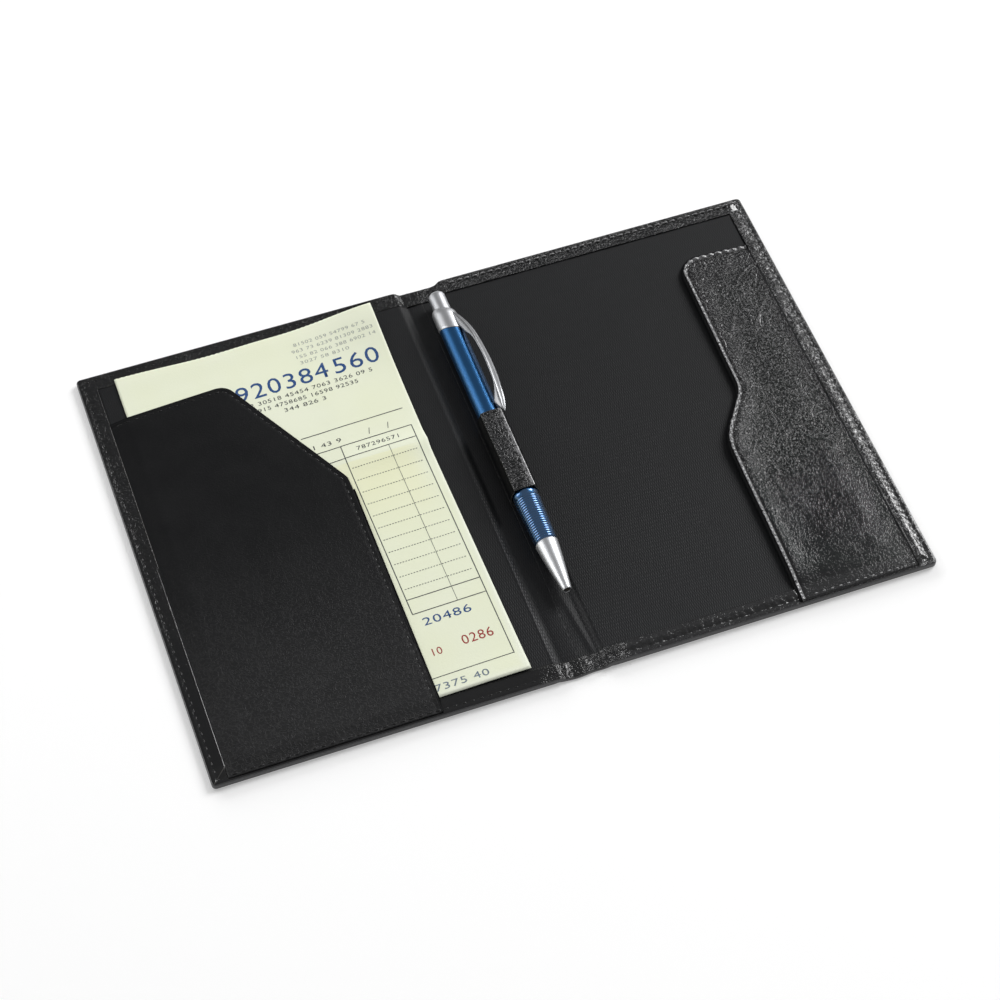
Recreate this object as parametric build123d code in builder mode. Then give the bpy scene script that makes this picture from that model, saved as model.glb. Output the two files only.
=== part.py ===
from build123d import *
import os
from math import cos, radians, sin, sqrt, tan

os.makedirs("parts", exist_ok=True)

# A folding guest check presenter, open and flat, in millimetres.
# X runs across the open folder, Y from tail to head, Z up from the table it lies on.
# The origin is the middle of the open folder, on its underside.

# ---- driving dimensions: the cover ----
panel_height = 180.0  # tail to head of each stiff panel
panel_width = 122.7  # crease to outer edge of each stiff panel
spine_width = 18.6  # soft strip between the two boards
skin = 0.6  # leatherette of the cover and pockets
board = 1.3  # stiffener inside each panel
lining = 0.3  # fine inner sheet
hem_width = 6.6  # cover turned in over the board
corner_radius = 1.6  # outer corners seen from above
edge_roll = 0.9  # rounding where the cover wraps the board's edge
crease_gap = 0.3  # between the spine and each panel
spine_setback = 0.6  # the spine ends this far inside head and tail
mitre_width = 0.2  # slit where two turned-in edges meet
mitre_depth = 0.25

# ---- driving dimensions: the pockets and the slip of paper ----
pocket_slot = 0.8  # room between lining and pocket
pocket_seam = 3.0  # folded-under strip along a sewn side
pocket_tail_inset = 1.2  # pocket's foot to the tail of the panel
check_pocket_height = 156.4  # tail of the panel to its level top edge; widths are from the outer seam
check_top_width = 45.3  # top of the slanting edge
check_mouth_width = 74.2  # foot of the slanting edge
check_mouth_height = 104.2
check_foot_width = 74.8
check_top_radius = 6.5
check_mouth_radius = 5.0
card_pocket_height = 156.8
card_shoulder_width = 28.9  # top corner of the wavy edge
card_neck_width = 30.5  # where the wave starts inwards
card_neck_height = 92.6
card_belly_width = 43.5  # where the wave ends
card_belly_height = 73.8
card_foot_width = 45.2
card_shoulder_radius = 8.0
card_neck_radius = 13.0
card_belly_radius = 23.0
slip_thickness = 0.15  # the guest check
slip_side_gap = 3.8  # from its outer edge to the pocket's seam
slip_crease_gap = 8.3  # from its inner edge to the crease
slip_head_gap = 3.4  # from its top to the head of the panel
slip_foot_gap = 0.2  # from its foot to the pocket's seam
slip_clearance = 0.1  # above the turned-in edge

# ---- driving dimensions: the pen, which lies along Y in its loop ----
pen_x = 4.8  # its axis, beside the spine's middle
tip_y = -59.4  # end of the nose
nose_length = 20.6
grip_length = 23.8
barrel_length = 76.85  # grip to the middle of the collar's lower edge
collar_length = 10.2
button_length = 8.95  # push button standing out of the collar
mouth_radius = 1.3  # hole for the writing tip
nose_tip_radius = 1.65
nose_swell = 0.15  # fullness of the cone halfway along
nose_radius = 4.2  # cone where it meets the grip
nose_bevel = 0.05
nose_bevel_length = 1.6
grip_low_radius = 4.15
grip_high_radius = 4.8
grip_shoulder = 2.0  # rounding from grip to barrel
barrel_radius = 4.35
neck_radius = 3.95  # barrel inside the collar
neck_overlap = 7.2  # neck above the middle of the collar's lower edge
neck_gap = 0.2  # from the neck's end to the collar's shoulder, and at the two screwed ends
barrel_bore = 3.4
bore_step = 2.5  # from the joint to where the bore widens
collar_radius = 4.55
collar_crown_radius = 3.75
collar_crown_length = 2.8
collar_slant = 20.0  # degrees, both rims, lower on the clip's side
clip_angle = 45.0  # degrees above +X
clip_length = 44.2  # below the middle of the collar's lower edge
clip_rise = 5.15  # top of the bow off the barrel
clip_width = 3.6
clip_root = 6.0  # height of its root on the collar
button_radius = 3.2
dome_length = 2.2
spigot_radius = 3.55  # barrel end that screws into the grip
spigot_length = 8.3
nose_spigot_radius = 3.3
nose_spigot_length = 6.0
inner_bore = 2.6  # through the grip and spigot
screw_fit = 0.07  # radial, at the two screwed joints
running_fit = 0.1  # radial, where pieces slide
push_fit = 0.02  # radial, where the refill's pieces push together
rib_count = 19
rib_pitch = 0.98
rib_margin = 0.6  # plain band below the first rib
rib_depth = 0.17
cone_stations = 2  # straight lengths that make up the nose's curve

# ---- driving dimensions: the loop ----
loop_head_y = 19.0
loop_tail_y = -17.0
loop_wall = 0.5
loop_clearance = 0.25  # round the widest part of the grip
loop_foot_width = 8.2
loop_foot_height = 2.2

# ---- driving dimensions: the click mechanism ----
button_travel = 4.5
tube_radius = 1.5
tube_bore = 1.05
tip_radius = 1.15
point_radius = 0.35
point_length = 3.0
tip_setback = 1.2  # writing point inside the nose when retracted
tip_length = 10.4
tip_spigot_length = 3.0
ear_radius = 2.0  # crimp on the tube that the spring pushes
ear_length = 1.0
spring_bore = 2.15
spring_length = 14.5  # as fitted, point retracted
spring_radius = 1.8  # middle of the wire
wire_radius = 0.18
spring_turns = 6
seat_y_from_tip = 9.9  # spring's seat in the nose, from its end
throat_gap = 0.4  # below the tube when the point is out
sleeve_wall = 0.55
sleeve_length = 19.0
sleeve_drop = 0.85  # its top, below the middle of the collar's lower edge
key_count = 4
key_width = 1.2
sleeve_rib_length = 10.7
sleeve_rib_width = 0.9
sleeve_rib_radius = 2.45
stem_radius = 2.3
stem_drop = 7.0  # the sleeve's top to where button and rotor meet
key_root_radius = 1.2
key_radius = 2.65
button_key_length = 3.4
button_key_gap = 0.6  # from the crown to the keys
button_gap = 0.5  # left above the sleeve when the button is pressed home
rotor_length = 5.5
rotor_key_length = 2.5
rotor_key_root = 1.8
rotor_socket_depth = 1.5
crown_grooves = 4  # V grooves right across, where button and rotor meet
crown_side = 0.7

# ---- worked out from the dimensions above ----
half_height = panel_height / 2
crease_x = spine_width / 2
outer_x = crease_x + panel_width
hem_x = outer_x - hem_width
hem_y = half_height - hem_width
lining_z = skin + board
lining_top = lining_z + lining
hem_top = lining_z + skin
spine_top = skin + lining
spine_edge_x = crease_x - crease_gap
spine_half = half_height - spine_setback
roll_radius = min(edge_roll, 0.4 * hem_top)
board_width = panel_width - skin
board_height = panel_height - 2 * skin
board_corner = max(corner_radius - skin, 0.2)
pocket_z = lining_top + pocket_slot
pocket_foot = pocket_tail_inset - half_height
check_top_y = check_pocket_height - half_height
card_top_y = card_pocket_height - half_height

loop_bore = grip_high_radius + loop_clearance
loop_out = loop_bore + loop_wall
pen_z = spine_top + loop_out
grip_y = tip_y + nose_length
joint_y = grip_y + grip_length
collar_y = joint_y + barrel_length
crown_y = collar_y + collar_length
neck_y = collar_y + neck_overlap
button_y = crown_y + button_length
seat_y = tip_y + seat_y_from_tip
ear_y = seat_y + spring_length
tip_end_y = tip_y + tip_setback
sleeve_top_y = collar_y - sleeve_drop
stem_end_y = sleeve_top_y - stem_drop
tube_low_y = tip_end_y + tip_length
throat_y = tube_low_y - button_travel - throat_gap
rotor_low_y = stem_end_y - rotor_length
button_foot_y = sleeve_top_y + button_travel + button_gap
sleeve_radius = barrel_bore - running_fit / 2

slant = radians(collar_slant)
clip_x = cos(radians(clip_angle))
clip_z = sin(radians(clip_angle))
pen_axis = Axis((pen_x, 0, pen_z), (0, 1, 0))
pen_plane = Plane(origin=(pen_x, 0, pen_z), x_dir=(1, 0, 0), z_dir=(0, 0, 1))
clip_plane = Plane(origin=(pen_x, 0, pen_z), x_dir=(clip_x, 0, clip_z), z_dir=(-clip_z, 0, clip_x))
clip_face = Plane(origin=(pen_x, 0, pen_z), x_dir=(-clip_z, 0, clip_x), z_dir=(-clip_x, 0, -clip_z))


def pen_section(station):
    """The plane across the pen at that Y; it looks towards the tip, with Z as its own y."""
    return Plane(origin=(pen_x, station, pen_z), x_dir=(1, 0, 0), z_dir=(0, -1, 0))


def slanted_plane(station):
    """A collar rim's plane, leaning so that it is lower on the clip's side."""
    lean = (tan(slant) * clip_x, 1, tan(slant) * clip_z)
    return Plane(origin=(pen_x, station, pen_z), z_dir=lean)


def turned_section(*points):
    """Half section of a turned piece of the pen; points are (radius, Y)."""
    with BuildSketch(pen_plane) as section:
        with BuildLine():
            Polyline(*points, close=True)
        make_face()
    return section.sketch


def rectangle_between(x_low, x_high, y_low, y_high):
    """A rectangle given by its edges, in the open sketch."""
    with Locations(((x_low + x_high) / 2, (y_low + y_high) / 2)):
        Rectangle(x_high - x_low, y_high - y_low)


# ================= back panel: the one on the right, which the rest folds onto =================

with BuildSketch() as board_outline:
    rectangle_between(crease_x, crease_x + board_width, -board_height / 2, board_height / 2)
    fillet(board_outline.vertices().group_by(Axis.X)[-1], board_corner)

# The cover is wrapped round three edges of the board and turned in over its top.
with BuildPart() as back_skin:
    with BuildSketch() as panel_outline:
        rectangle_between(crease_x, outer_x, -half_height, half_height)
        fillet(panel_outline.vertices().group_by(Axis.X)[-1], corner_radius)
    extrude(amount=hem_top)
    level_edges = back_skin.edges().group_by(Axis.Z)[0] + back_skin.edges().group_by(Axis.Z)[-1]
    wrapped_edges = level_edges.filter_by(lambda edge: edge.center().X > crease_x + crease_gap)
    fillet(wrapped_edges, roll_radius)
    extrude(board_outline.sketch.moved(Pos(0, 0, skin)), amount=board, mode=Mode.SUBTRACT)
    with BuildSketch(Plane.XY.offset(lining_z)):
        rectangle_between(crease_x, hem_x, -hem_y, hem_y)
    extrude(amount=skin, mode=Mode.SUBTRACT)
    with BuildSketch(Plane.XY.offset(hem_top - mitre_depth)):
        mitre_start = corner_radius  # clear of the rounded corner
        mitre_end = hem_width + mitre_width
        mitre_middle = (mitre_start + mitre_end) / 2
        for end in (1, -1):
            slit_middle = (outer_x - mitre_middle, end * (half_height - mitre_middle))
            with Locations(Location(slit_middle, 45 * end)):
                Rectangle((mitre_end - mitre_start) * sqrt(2), mitre_width)
    extrude(amount=mitre_depth, mode=Mode.SUBTRACT)
back_skin.part.label = "back_skin"

with BuildPart() as back_board:
    extrude(board_outline.sketch.moved(Pos(0, 0, skin)), amount=board)
back_board.part.label = "back_board"

with BuildPart() as back_lining:
    with BuildSketch(Plane.XY.offset(lining_z)):
        rectangle_between(crease_x, hem_x, -hem_y, hem_y)
    extrude(amount=lining)
back_lining.part.label = "back_lining"

# Narrow pocket with a wavy mouth, sewn along the outer edge and the tail, open at the top and the wave.
with BuildPart() as card_pocket:
    with BuildSketch(Plane.XY.offset(pocket_z)):
        with BuildLine():
            wave = FilletPolyline(
                (hem_x, card_top_y),
                (hem_x - card_shoulder_width, card_top_y),
                (hem_x - card_neck_width, card_neck_height - half_height),
                (hem_x - card_belly_width, card_belly_height - half_height),
                (hem_x - card_foot_width, pocket_foot),
                radius=[card_shoulder_radius, card_neck_radius, card_belly_radius],
            )
            Polyline(wave @ 1, (hem_x, pocket_foot), wave @ 0)
        make_face()
    extrude(amount=skin)
    with BuildSketch(Plane.XY.offset(lining_top)):
        rectangle_between(hem_x - pocket_seam, hem_x, -hem_y, card_top_y)
    extrude(amount=pocket_slot)
    with BuildSketch(Plane.XY.offset(hem_top)):
        rectangle_between(hem_x - card_foot_width, hem_x, pocket_foot, -hem_y)
    extrude(amount=pocket_z - hem_top)
card_pocket.part.label = "card_pocket"

# ================= spine: soft, with no board =================

# One layer of leatherette with its ends folded back over themselves at head and tail.
with BuildPart() as spine_skin:
    with BuildSketch():
        Rectangle(2 * spine_edge_x, 2 * spine_half)
    extrude(amount=skin)
    with BuildSketch(Plane.XY.offset(skin)):
        for end in (1, -1):
            with Locations((0, end * (hem_y + spine_half) / 2)):
                Rectangle(2 * spine_edge_x, spine_half - hem_y)
    extrude(amount=skin)
    end_edges = spine_skin.edges().filter_by(Axis.X)
    folded_ends = end_edges.filter_by(lambda edge: abs(edge.center().Y) > spine_half - 0.01)
    fillet(folded_ends, 0.8 * skin)
spine_skin.part.label = "spine_skin"

with BuildPart() as spine_lining:
    with BuildSketch(Plane.XY.offset(skin)):
        Rectangle(2 * spine_edge_x, 2 * hem_y)
    extrude(amount=lining)
spine_lining.part.label = "spine_lining"

# A tube of leather for the pen, with a wide foot sewn to the spine.
with BuildPart() as pen_loop:
    with BuildSketch(pen_section(loop_head_y)):
        Circle(loop_out)
        with Locations((0, (loop_foot_height / 2 - loop_out))):
            Rectangle(loop_foot_width, loop_foot_height)
        Circle(loop_bore, mode=Mode.SUBTRACT)
    extrude(amount=loop_head_y - loop_tail_y)
pen_loop.part.label = "pen_loop"

# ================= front panel: the one on the left =================

with BuildPart() as front_skin:
    mirror(back_skin.part, about=Plane.YZ)
front_skin.part.label = "front_skin"

with BuildPart() as front_board:
    mirror(back_board.part, about=Plane.YZ)
front_board.part.label = "front_board"

with BuildPart() as front_lining:
    mirror(back_lining.part, about=Plane.YZ)
front_lining.part.label = "front_lining"

# Wide pocket with a slanting mouth, sewn along the outer edge and the tail.
with BuildPart() as check_pocket:
    with BuildSketch(Plane.XY.offset(pocket_z)):
        with BuildLine():
            slanted_mouth = FilletPolyline(
                (-hem_x, check_top_y),
                (check_top_width - hem_x, check_top_y),
                (check_mouth_width - hem_x, check_mouth_height - half_height),
                (check_foot_width - hem_x, pocket_foot),
                radius=[check_top_radius, check_mouth_radius],
            )
            Polyline(slanted_mouth @ 1, (-hem_x, pocket_foot), slanted_mouth @ 0)
        make_face()
    extrude(amount=skin)
    with BuildSketch(Plane.XY.offset(lining_top)):
        rectangle_between(-hem_x, pocket_seam - hem_x, -hem_y, check_top_y)
    extrude(amount=pocket_slot)
    with BuildSketch(Plane.XY.offset(hem_top)):
        rectangle_between(-hem_x, check_foot_width - hem_x, pocket_foot, -hem_y)
    extrude(amount=pocket_z - hem_top)
check_pocket.part.label = "check_pocket"

# The slip of paper stands on the pocket's tail seam and passes over the turned-in edge at the head.
with BuildPart() as guest_check:
    with BuildSketch(Plane.XY.offset(hem_top + slip_clearance)):
        rectangle_between(
            slip_side_gap + pocket_seam - hem_x,
            -crease_x - slip_crease_gap,
            slip_foot_gap - hem_y,
            half_height - slip_head_gap,
        )
    extrude(amount=slip_thickness)
guest_check.part.label = "guest_check"

# ================= pen: front half =================

# Cone with a slight swell, a throat for the writing tip, a step that seats the spring, and
# a screwed spigot.
cone_profile = []
for station in range(cone_stations + 1):
    along = station / cone_stations
    swell = 4 * nose_swell * along * (1 - along)
    cone_radius = nose_tip_radius + (nose_radius - nose_tip_radius) * along + swell
    cone_profile.append((cone_radius, tip_y + (nose_length - nose_bevel_length) * along))
with BuildPart() as pen_nose:
    revolve(
        turned_section(
            *cone_profile,
            (grip_low_radius - nose_bevel, grip_y),
            (nose_spigot_radius, grip_y),
            (nose_spigot_radius, grip_y + nose_spigot_length),
            (spring_bore, grip_y + nose_spigot_length),
            (spring_bore, seat_y),
            (tube_radius + 2 * running_fit, seat_y),
            (tube_radius + 2 * running_fit, throat_y),
            (mouth_radius, throat_y - throat_gap),
            (mouth_radius, tip_y),
        ),
        axis=pen_axis,
    )
pen_nose.part.label = "pen_nose"

# Ribbed grip: its radius grows from the nose to a rounded shoulder at the barrel.
shoulder_y = joint_y - grip_shoulder
first_rib_y = grip_y + rib_margin
rib_rise = (grip_high_radius - grip_low_radius) / rib_count
rib_profile = [(grip_low_radius, grip_y), (grip_low_radius, first_rib_y)]
for rib in range(rib_count):
    crest = grip_low_radius + rib_rise * (rib + 1)
    rib_profile.append((crest - rib_depth, first_rib_y + rib_pitch * (rib + 0.5)))
    rib_profile.append((crest, first_rib_y + rib_pitch * (rib + 1)))
socket_y = joint_y - spigot_length - neck_gap
nose_socket_y = grip_y + nose_spigot_length + neck_gap
with BuildPart() as pen_grip:
    revolve(
        turned_section(
            *rib_profile,
            (grip_high_radius, shoulder_y),
            (0.33 * barrel_radius + 0.67 * grip_high_radius, shoulder_y + 0.6 * grip_shoulder),
            (barrel_radius, joint_y),
            (spigot_radius + screw_fit, joint_y),
            (spigot_radius + screw_fit, socket_y),
            (inner_bore, socket_y),
            (inner_bore, nose_socket_y),
            (nose_spigot_radius + screw_fit, nose_socket_y),
            (nose_spigot_radius + screw_fit, grip_y),
        ),
        axis=pen_axis,
    )
pen_grip.part.label = "pen_grip"

# ================= pen: rear half =================

# Plain tube, cut on the slant under the collar, with a neck inside the collar and a spigot in the grip.
with BuildPart() as pen_barrel:
    slant_rise = barrel_radius * tan(slant)
    barrel_high_y = collar_y + 2 * slant_rise
    revolve(
        turned_section(
            (0, joint_y),
            (barrel_radius, joint_y),
            (barrel_radius, barrel_high_y),
            (0, barrel_high_y),
        ),
        axis=pen_axis,
    )
    split(bisect_by=slanted_plane(collar_y), keep=Keep.BOTTOM)
    revolve(
        turned_section(
            (0, joint_y - spigot_length),
            (spigot_radius, joint_y - spigot_length),
            (spigot_radius, joint_y),
            (neck_radius, joint_y),
            (neck_radius, neck_y),
            (0, neck_y),
        ),
        axis=pen_axis,
    )
    revolve(
        turned_section(
            (0, joint_y - spigot_length),
            (inner_bore, joint_y - spigot_length),
            (inner_bore, joint_y + bore_step),
            (barrel_bore, joint_y + bore_step),
            (barrel_bore, neck_y),
            (0, neck_y),
        ),
        axis=pen_axis,
        mode=Mode.SUBTRACT,
    )
pen_barrel.part.label = "pen_barrel"

# Collar and bow clip, one moulding. The collar's rims lean; the clip springs from its low side,
# bows away from the barrel, comes back to a round pad that grips the cloth, and flares at its end.
collar_bore = neck_radius + screw_fit


def bow(rise, down):
    """A point of the clip's side view, in shares of its rise off the barrel and of its length."""
    return (barrel_radius + rise * clip_rise, collar_y - down * clip_length)


def leaf(across, down):
    """A point of the clip's plan, in shares of half its width and of its length."""
    return (across * clip_width / 2, collar_y - down * clip_length)


with BuildPart() as clip_collar:
    collar_rise = collar_radius * tan(slant)
    with BuildSketch(pen_plane):
        with BuildLine():
            low_y = collar_y - 2 * collar_rise
            high_y = crown_y + collar_rise
            crown_inset = collar_radius - collar_crown_radius
            Polyline(
                (0, low_y),
                (collar_radius, low_y),
                (collar_radius, crown_y - collar_crown_length),
                (collar_radius - 0.25 * crown_inset, crown_y - 0.4 * collar_crown_length),
                (collar_crown_radius, high_y),
                (0, high_y),
                close=True,
            )
        make_face()
    revolve(axis=pen_axis)
    split(bisect_by=slanted_plane(collar_y), keep=Keep.TOP)
    split(bisect_by=slanted_plane(crown_y), keep=Keep.BOTTOM)
    with BuildPart(mode=Mode.PRIVATE) as clip_arm:
        with BuildSketch(clip_plane):
            with BuildLine():
                back = Spline(
                    bow(-0.01, -0.15),
                    bow(0.34, -0.05),
                    bow(0.75, 0.11),
                    bow(1.0, 0.35),
                    bow(0.98, 0.67),
                    bow(0.77, 0.86),
                    bow(0.55, 0.995),
                )
                belly = Spline(
                    bow(0.42, 1.0),
                    bow(0.24, 0.94),
                    bow(0.03, 0.88),
                    bow(0.32, 0.83),
                    bow(0.63, 0.76),
                    bow(0.825, 0.57),
                    bow(0.79, 0.35),
                    bow(0.55, 0.185),
                    bow(0.24, 0.115),
                    bow(0.03, 0.043),
                )
                Polyline(back @ 1, belly @ 0)
                root_low = (collar_bore, collar_y + 0.1 * clip_root)
                root_high = (collar_bore, collar_y + clip_root)
                Polyline(belly @ 1, root_low, root_high, back @ 0)
            make_face()
        extrude(amount=clip_width / 2, both=True)
        with BuildSketch(clip_face):
            with BuildLine():
                left_side = Spline(
                    leaf(0.7, -0.16),
                    leaf(0.72, 0.0),
                    leaf(0.89, 0.32),
                    leaf(1.0, 0.72),
                    leaf(0.83, 0.905),
                    leaf(0.0, 1.002),
                )
                right_side = Spline(
                    leaf(0.0, 1.002),
                    leaf(-0.83, 0.905),
                    leaf(-1.0, 0.72),
                    leaf(-0.89, 0.32),
                    leaf(-0.72, 0.0),
                    leaf(-0.7, -0.16),
                )
                Line(right_side @ 1, left_side @ 0)
            make_face()
        extrude(amount=2 * (barrel_radius + clip_rise), both=True, mode=Mode.INTERSECT)
    add(clip_arm.part)
    revolve(
        turned_section(
            (0, collar_y - 2 * collar_rise),
            (collar_bore, collar_y - 2 * collar_rise),
            (collar_bore, neck_y + neck_gap),
            (button_radius + running_fit, neck_y + neck_gap),
            (button_radius + running_fit, button_y),
            (0, button_y),
        ),
        axis=pen_axis,
        mode=Mode.SUBTRACT,
    )
clip_collar.part.label = "clip_collar"

# Push button: domed cap, stem with guide keys, and a crown of notches that drives the rotor.
with BuildPart() as pen_plunger:
    revolve(
        turned_section(
            (0, stem_end_y),
            (stem_radius, stem_end_y),
            (stem_radius, button_foot_y),
            (0, button_foot_y),
        ),
        axis=pen_axis,
    )
    for groove in range(crown_grooves):
        turn = radians(180 / crown_grooves * (groove + 0.5))
        across = (cos(turn), 0, sin(turn))
        with BuildSketch(Plane(origin=(pen_x, stem_end_y, pen_z), x_dir=(0, 1, 0), z_dir=across)):
            Rectangle(crown_side, crown_side, rotation=45)
        extrude(amount=key_radius + 1, both=True, mode=Mode.SUBTRACT)
    with BuildSketch(pen_section(stem_end_y + button_key_gap + button_key_length)):
        with PolarLocations((key_radius + key_root_radius) / 2, key_count, start_angle=45):
            Rectangle(key_radius - key_root_radius, key_width)
    extrude(amount=button_key_length)
    with BuildSketch(pen_plane):
        with BuildLine():
            Polyline(
                (0, button_foot_y),
                (button_radius, button_foot_y),
                (button_radius, button_y - dome_length),
                (0.87 * button_radius, button_y - 0.4 * dome_length),
                (0.5 * button_radius, button_y - 0.07 * dome_length),
                (0.2 * button_radius, button_y),
                (0, button_y),
                close=True,
            )
        make_face()
    revolve(axis=pen_axis)
pen_plunger.part.label = "pen_plunger"

# Sleeve pressed into the barrel; its ribs guide the keys and hold the rotor when the point is out.
with BuildPart() as cam_sleeve:
    sleeve_low_y = sleeve_top_y - sleeve_length
    revolve(
        turned_section(
            (sleeve_radius - sleeve_wall, sleeve_low_y),
            (sleeve_radius, sleeve_low_y),
            (sleeve_radius, sleeve_top_y),
            (sleeve_radius - sleeve_wall, sleeve_top_y),
        ),
        axis=pen_axis,
    )
    with BuildSketch(pen_section(sleeve_top_y)):
        rib_root_radius = sleeve_radius - sleeve_wall / 2
        with PolarLocations((sleeve_rib_radius + rib_root_radius) / 2, key_count):
            Rectangle(rib_root_radius - sleeve_rib_radius, sleeve_rib_width)
    extrude(amount=sleeve_rib_length)
cam_sleeve.part.label = "cam_sleeve"

# ================= refill =================

# Rotor: a crown that meets the button's, keys that ride between the sleeve's ribs, a socket
# for the tube.
with BuildPart() as cam_rotor:
    revolve(
        turned_section(
            (0, rotor_low_y + rotor_socket_depth),
            (tube_radius + push_fit, rotor_low_y + rotor_socket_depth),
            (tube_radius + push_fit, rotor_low_y),
            (stem_radius, rotor_low_y),
            (stem_radius, stem_end_y),
            (0, stem_end_y),
        ),
        axis=pen_axis,
    )
    with BuildSketch(pen_section(stem_end_y - crown_side)):
        with PolarLocations((key_radius + rotor_key_root) / 2, key_count, start_angle=45):
            Rectangle(key_radius - rotor_key_root, key_width)
    extrude(amount=rotor_key_length)
    for groove in range(crown_grooves):
        turn = radians(180 / crown_grooves * (groove + 0.5))
        across = (cos(turn), 0, sin(turn))
        with BuildSketch(Plane(origin=(pen_x, stem_end_y, pen_z), x_dir=(0, 1, 0), z_dir=across)):
            Rectangle(crown_side, crown_side, rotation=45)
        extrude(amount=key_radius + 1, both=True, mode=Mode.SUBTRACT)
cam_rotor.part.label = "cam_rotor"

# Ink tube with a crimped ear for the spring.
with BuildPart() as refill_tube:
    revolve(
        turned_section(
            (tube_bore, tube_low_y),
            (tube_radius, tube_low_y),
            (tube_radius, ear_y),
            (ear_radius, ear_y),
            (ear_radius, ear_y + ear_length),
            (tube_radius, ear_y + ear_length),
            (tube_radius, rotor_low_y + rotor_socket_depth),
            (tube_bore, rotor_low_y + rotor_socket_depth),
        ),
        axis=pen_axis,
    )
refill_tube.part.label = "refill_tube"

# Writing tip: point, cone, body, and a spigot in the tube.
with BuildPart() as refill_tip:
    revolve(
        turned_section(
            (0, tip_end_y),
            (point_radius, tip_end_y),
            (0.8 * point_radius + 0.2 * tip_radius, tip_end_y + 0.2 * point_length),
            (tip_radius, tip_end_y + point_length),
            (tip_radius, tube_low_y),
            (tube_bore - push_fit, tube_low_y),
            (tube_bore - push_fit, tube_low_y + tip_spigot_length),
            (0, tube_low_y + tip_spigot_length),
        ),
        axis=pen_axis,
    )
refill_tip.part.label = "refill_tip"

# Compression spring between the nose's step and the tube's ear.
with BuildPart() as refill_spring:
    coil_length = spring_length - 2 * wire_radius
    with BuildLine():
        coil = Helix(
            coil_length / spring_turns,
            coil_length,
            spring_radius,
            center=(pen_x, seat_y + wire_radius, pen_z),
            direction=(0, 1, 0),
        )
    with BuildSketch(Plane(origin=coil @ 0, z_dir=coil % 0)):
        RegularPolygon(wire_radius, 4)
    sweep()
refill_spring.part.label = "refill_spring"

export_step(back_skin.part, "parts/back_skin.step")
export_step(back_board.part, "parts/back_board.step")
export_step(back_lining.part, "parts/back_lining.step")
export_step(card_pocket.part, "parts/card_pocket.step")
export_step(spine_skin.part, "parts/spine_skin.step")
export_step(spine_lining.part, "parts/spine_lining.step")
export_step(pen_loop.part, "parts/pen_loop.step")
export_step(front_skin.part, "parts/front_skin.step")
export_step(front_board.part, "parts/front_board.step")
export_step(front_lining.part, "parts/front_lining.step")
export_step(check_pocket.part, "parts/check_pocket.step")
export_step(guest_check.part, "parts/guest_check.step")
export_step(pen_nose.part, "parts/pen_nose.step")
export_step(pen_grip.part, "parts/pen_grip.step")
export_step(pen_barrel.part, "parts/pen_barrel.step")
export_step(clip_collar.part, "parts/clip_collar.step")
export_step(pen_plunger.part, "parts/pen_plunger.step")
export_step(cam_sleeve.part, "parts/cam_sleeve.step")
export_step(cam_rotor.part, "parts/cam_rotor.step")
export_step(refill_tube.part, "parts/refill_tube.step")
export_step(refill_tip.part, "parts/refill_tip.step")
export_step(refill_spring.part, "parts/refill_spring.step")
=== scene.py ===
"""Looks of a folding guest check presenter and its pen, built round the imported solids.

Shapes are worked out in millimetres in the frame's own axes: X across the open folder, Y from
tail to head, Z up from the table.
"""

import math

import bmesh
import bpy
import numpy as np
from bpy.props import FloatProperty, FloatVectorProperty, PointerProperty
from bpy.types import Operator, Panel, PropertyGroup
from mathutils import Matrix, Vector


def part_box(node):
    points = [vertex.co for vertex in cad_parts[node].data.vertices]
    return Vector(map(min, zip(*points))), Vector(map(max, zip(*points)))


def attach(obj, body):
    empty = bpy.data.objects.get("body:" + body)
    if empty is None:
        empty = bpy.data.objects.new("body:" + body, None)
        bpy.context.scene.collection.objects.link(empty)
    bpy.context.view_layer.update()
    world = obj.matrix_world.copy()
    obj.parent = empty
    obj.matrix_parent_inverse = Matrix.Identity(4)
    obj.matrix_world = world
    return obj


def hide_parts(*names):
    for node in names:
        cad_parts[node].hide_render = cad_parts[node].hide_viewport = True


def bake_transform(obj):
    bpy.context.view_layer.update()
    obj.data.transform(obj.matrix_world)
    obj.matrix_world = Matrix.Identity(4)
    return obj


bl_info = {
    "name": "Guest Check Presenter",
    "version": (1, 0, 0),
    "blender": (4, 5, 0),
    "location": "View3D > Sidebar > Presenter",
    "description": "Leather, paper and pen of an open guest check presenter",
    "category": "Object",
}

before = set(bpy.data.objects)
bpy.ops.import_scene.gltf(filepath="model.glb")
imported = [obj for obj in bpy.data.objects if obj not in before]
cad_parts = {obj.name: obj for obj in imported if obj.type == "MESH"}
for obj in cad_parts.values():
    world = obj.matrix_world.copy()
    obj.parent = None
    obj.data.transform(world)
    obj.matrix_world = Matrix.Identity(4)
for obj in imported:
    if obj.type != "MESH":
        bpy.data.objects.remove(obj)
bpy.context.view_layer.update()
MM = 0.001


def corners(node):
    """Lowest and highest corner of a solid, in millimetres."""
    low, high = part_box(node)
    return np.array(low) / MM, np.array(high) / MM


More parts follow.
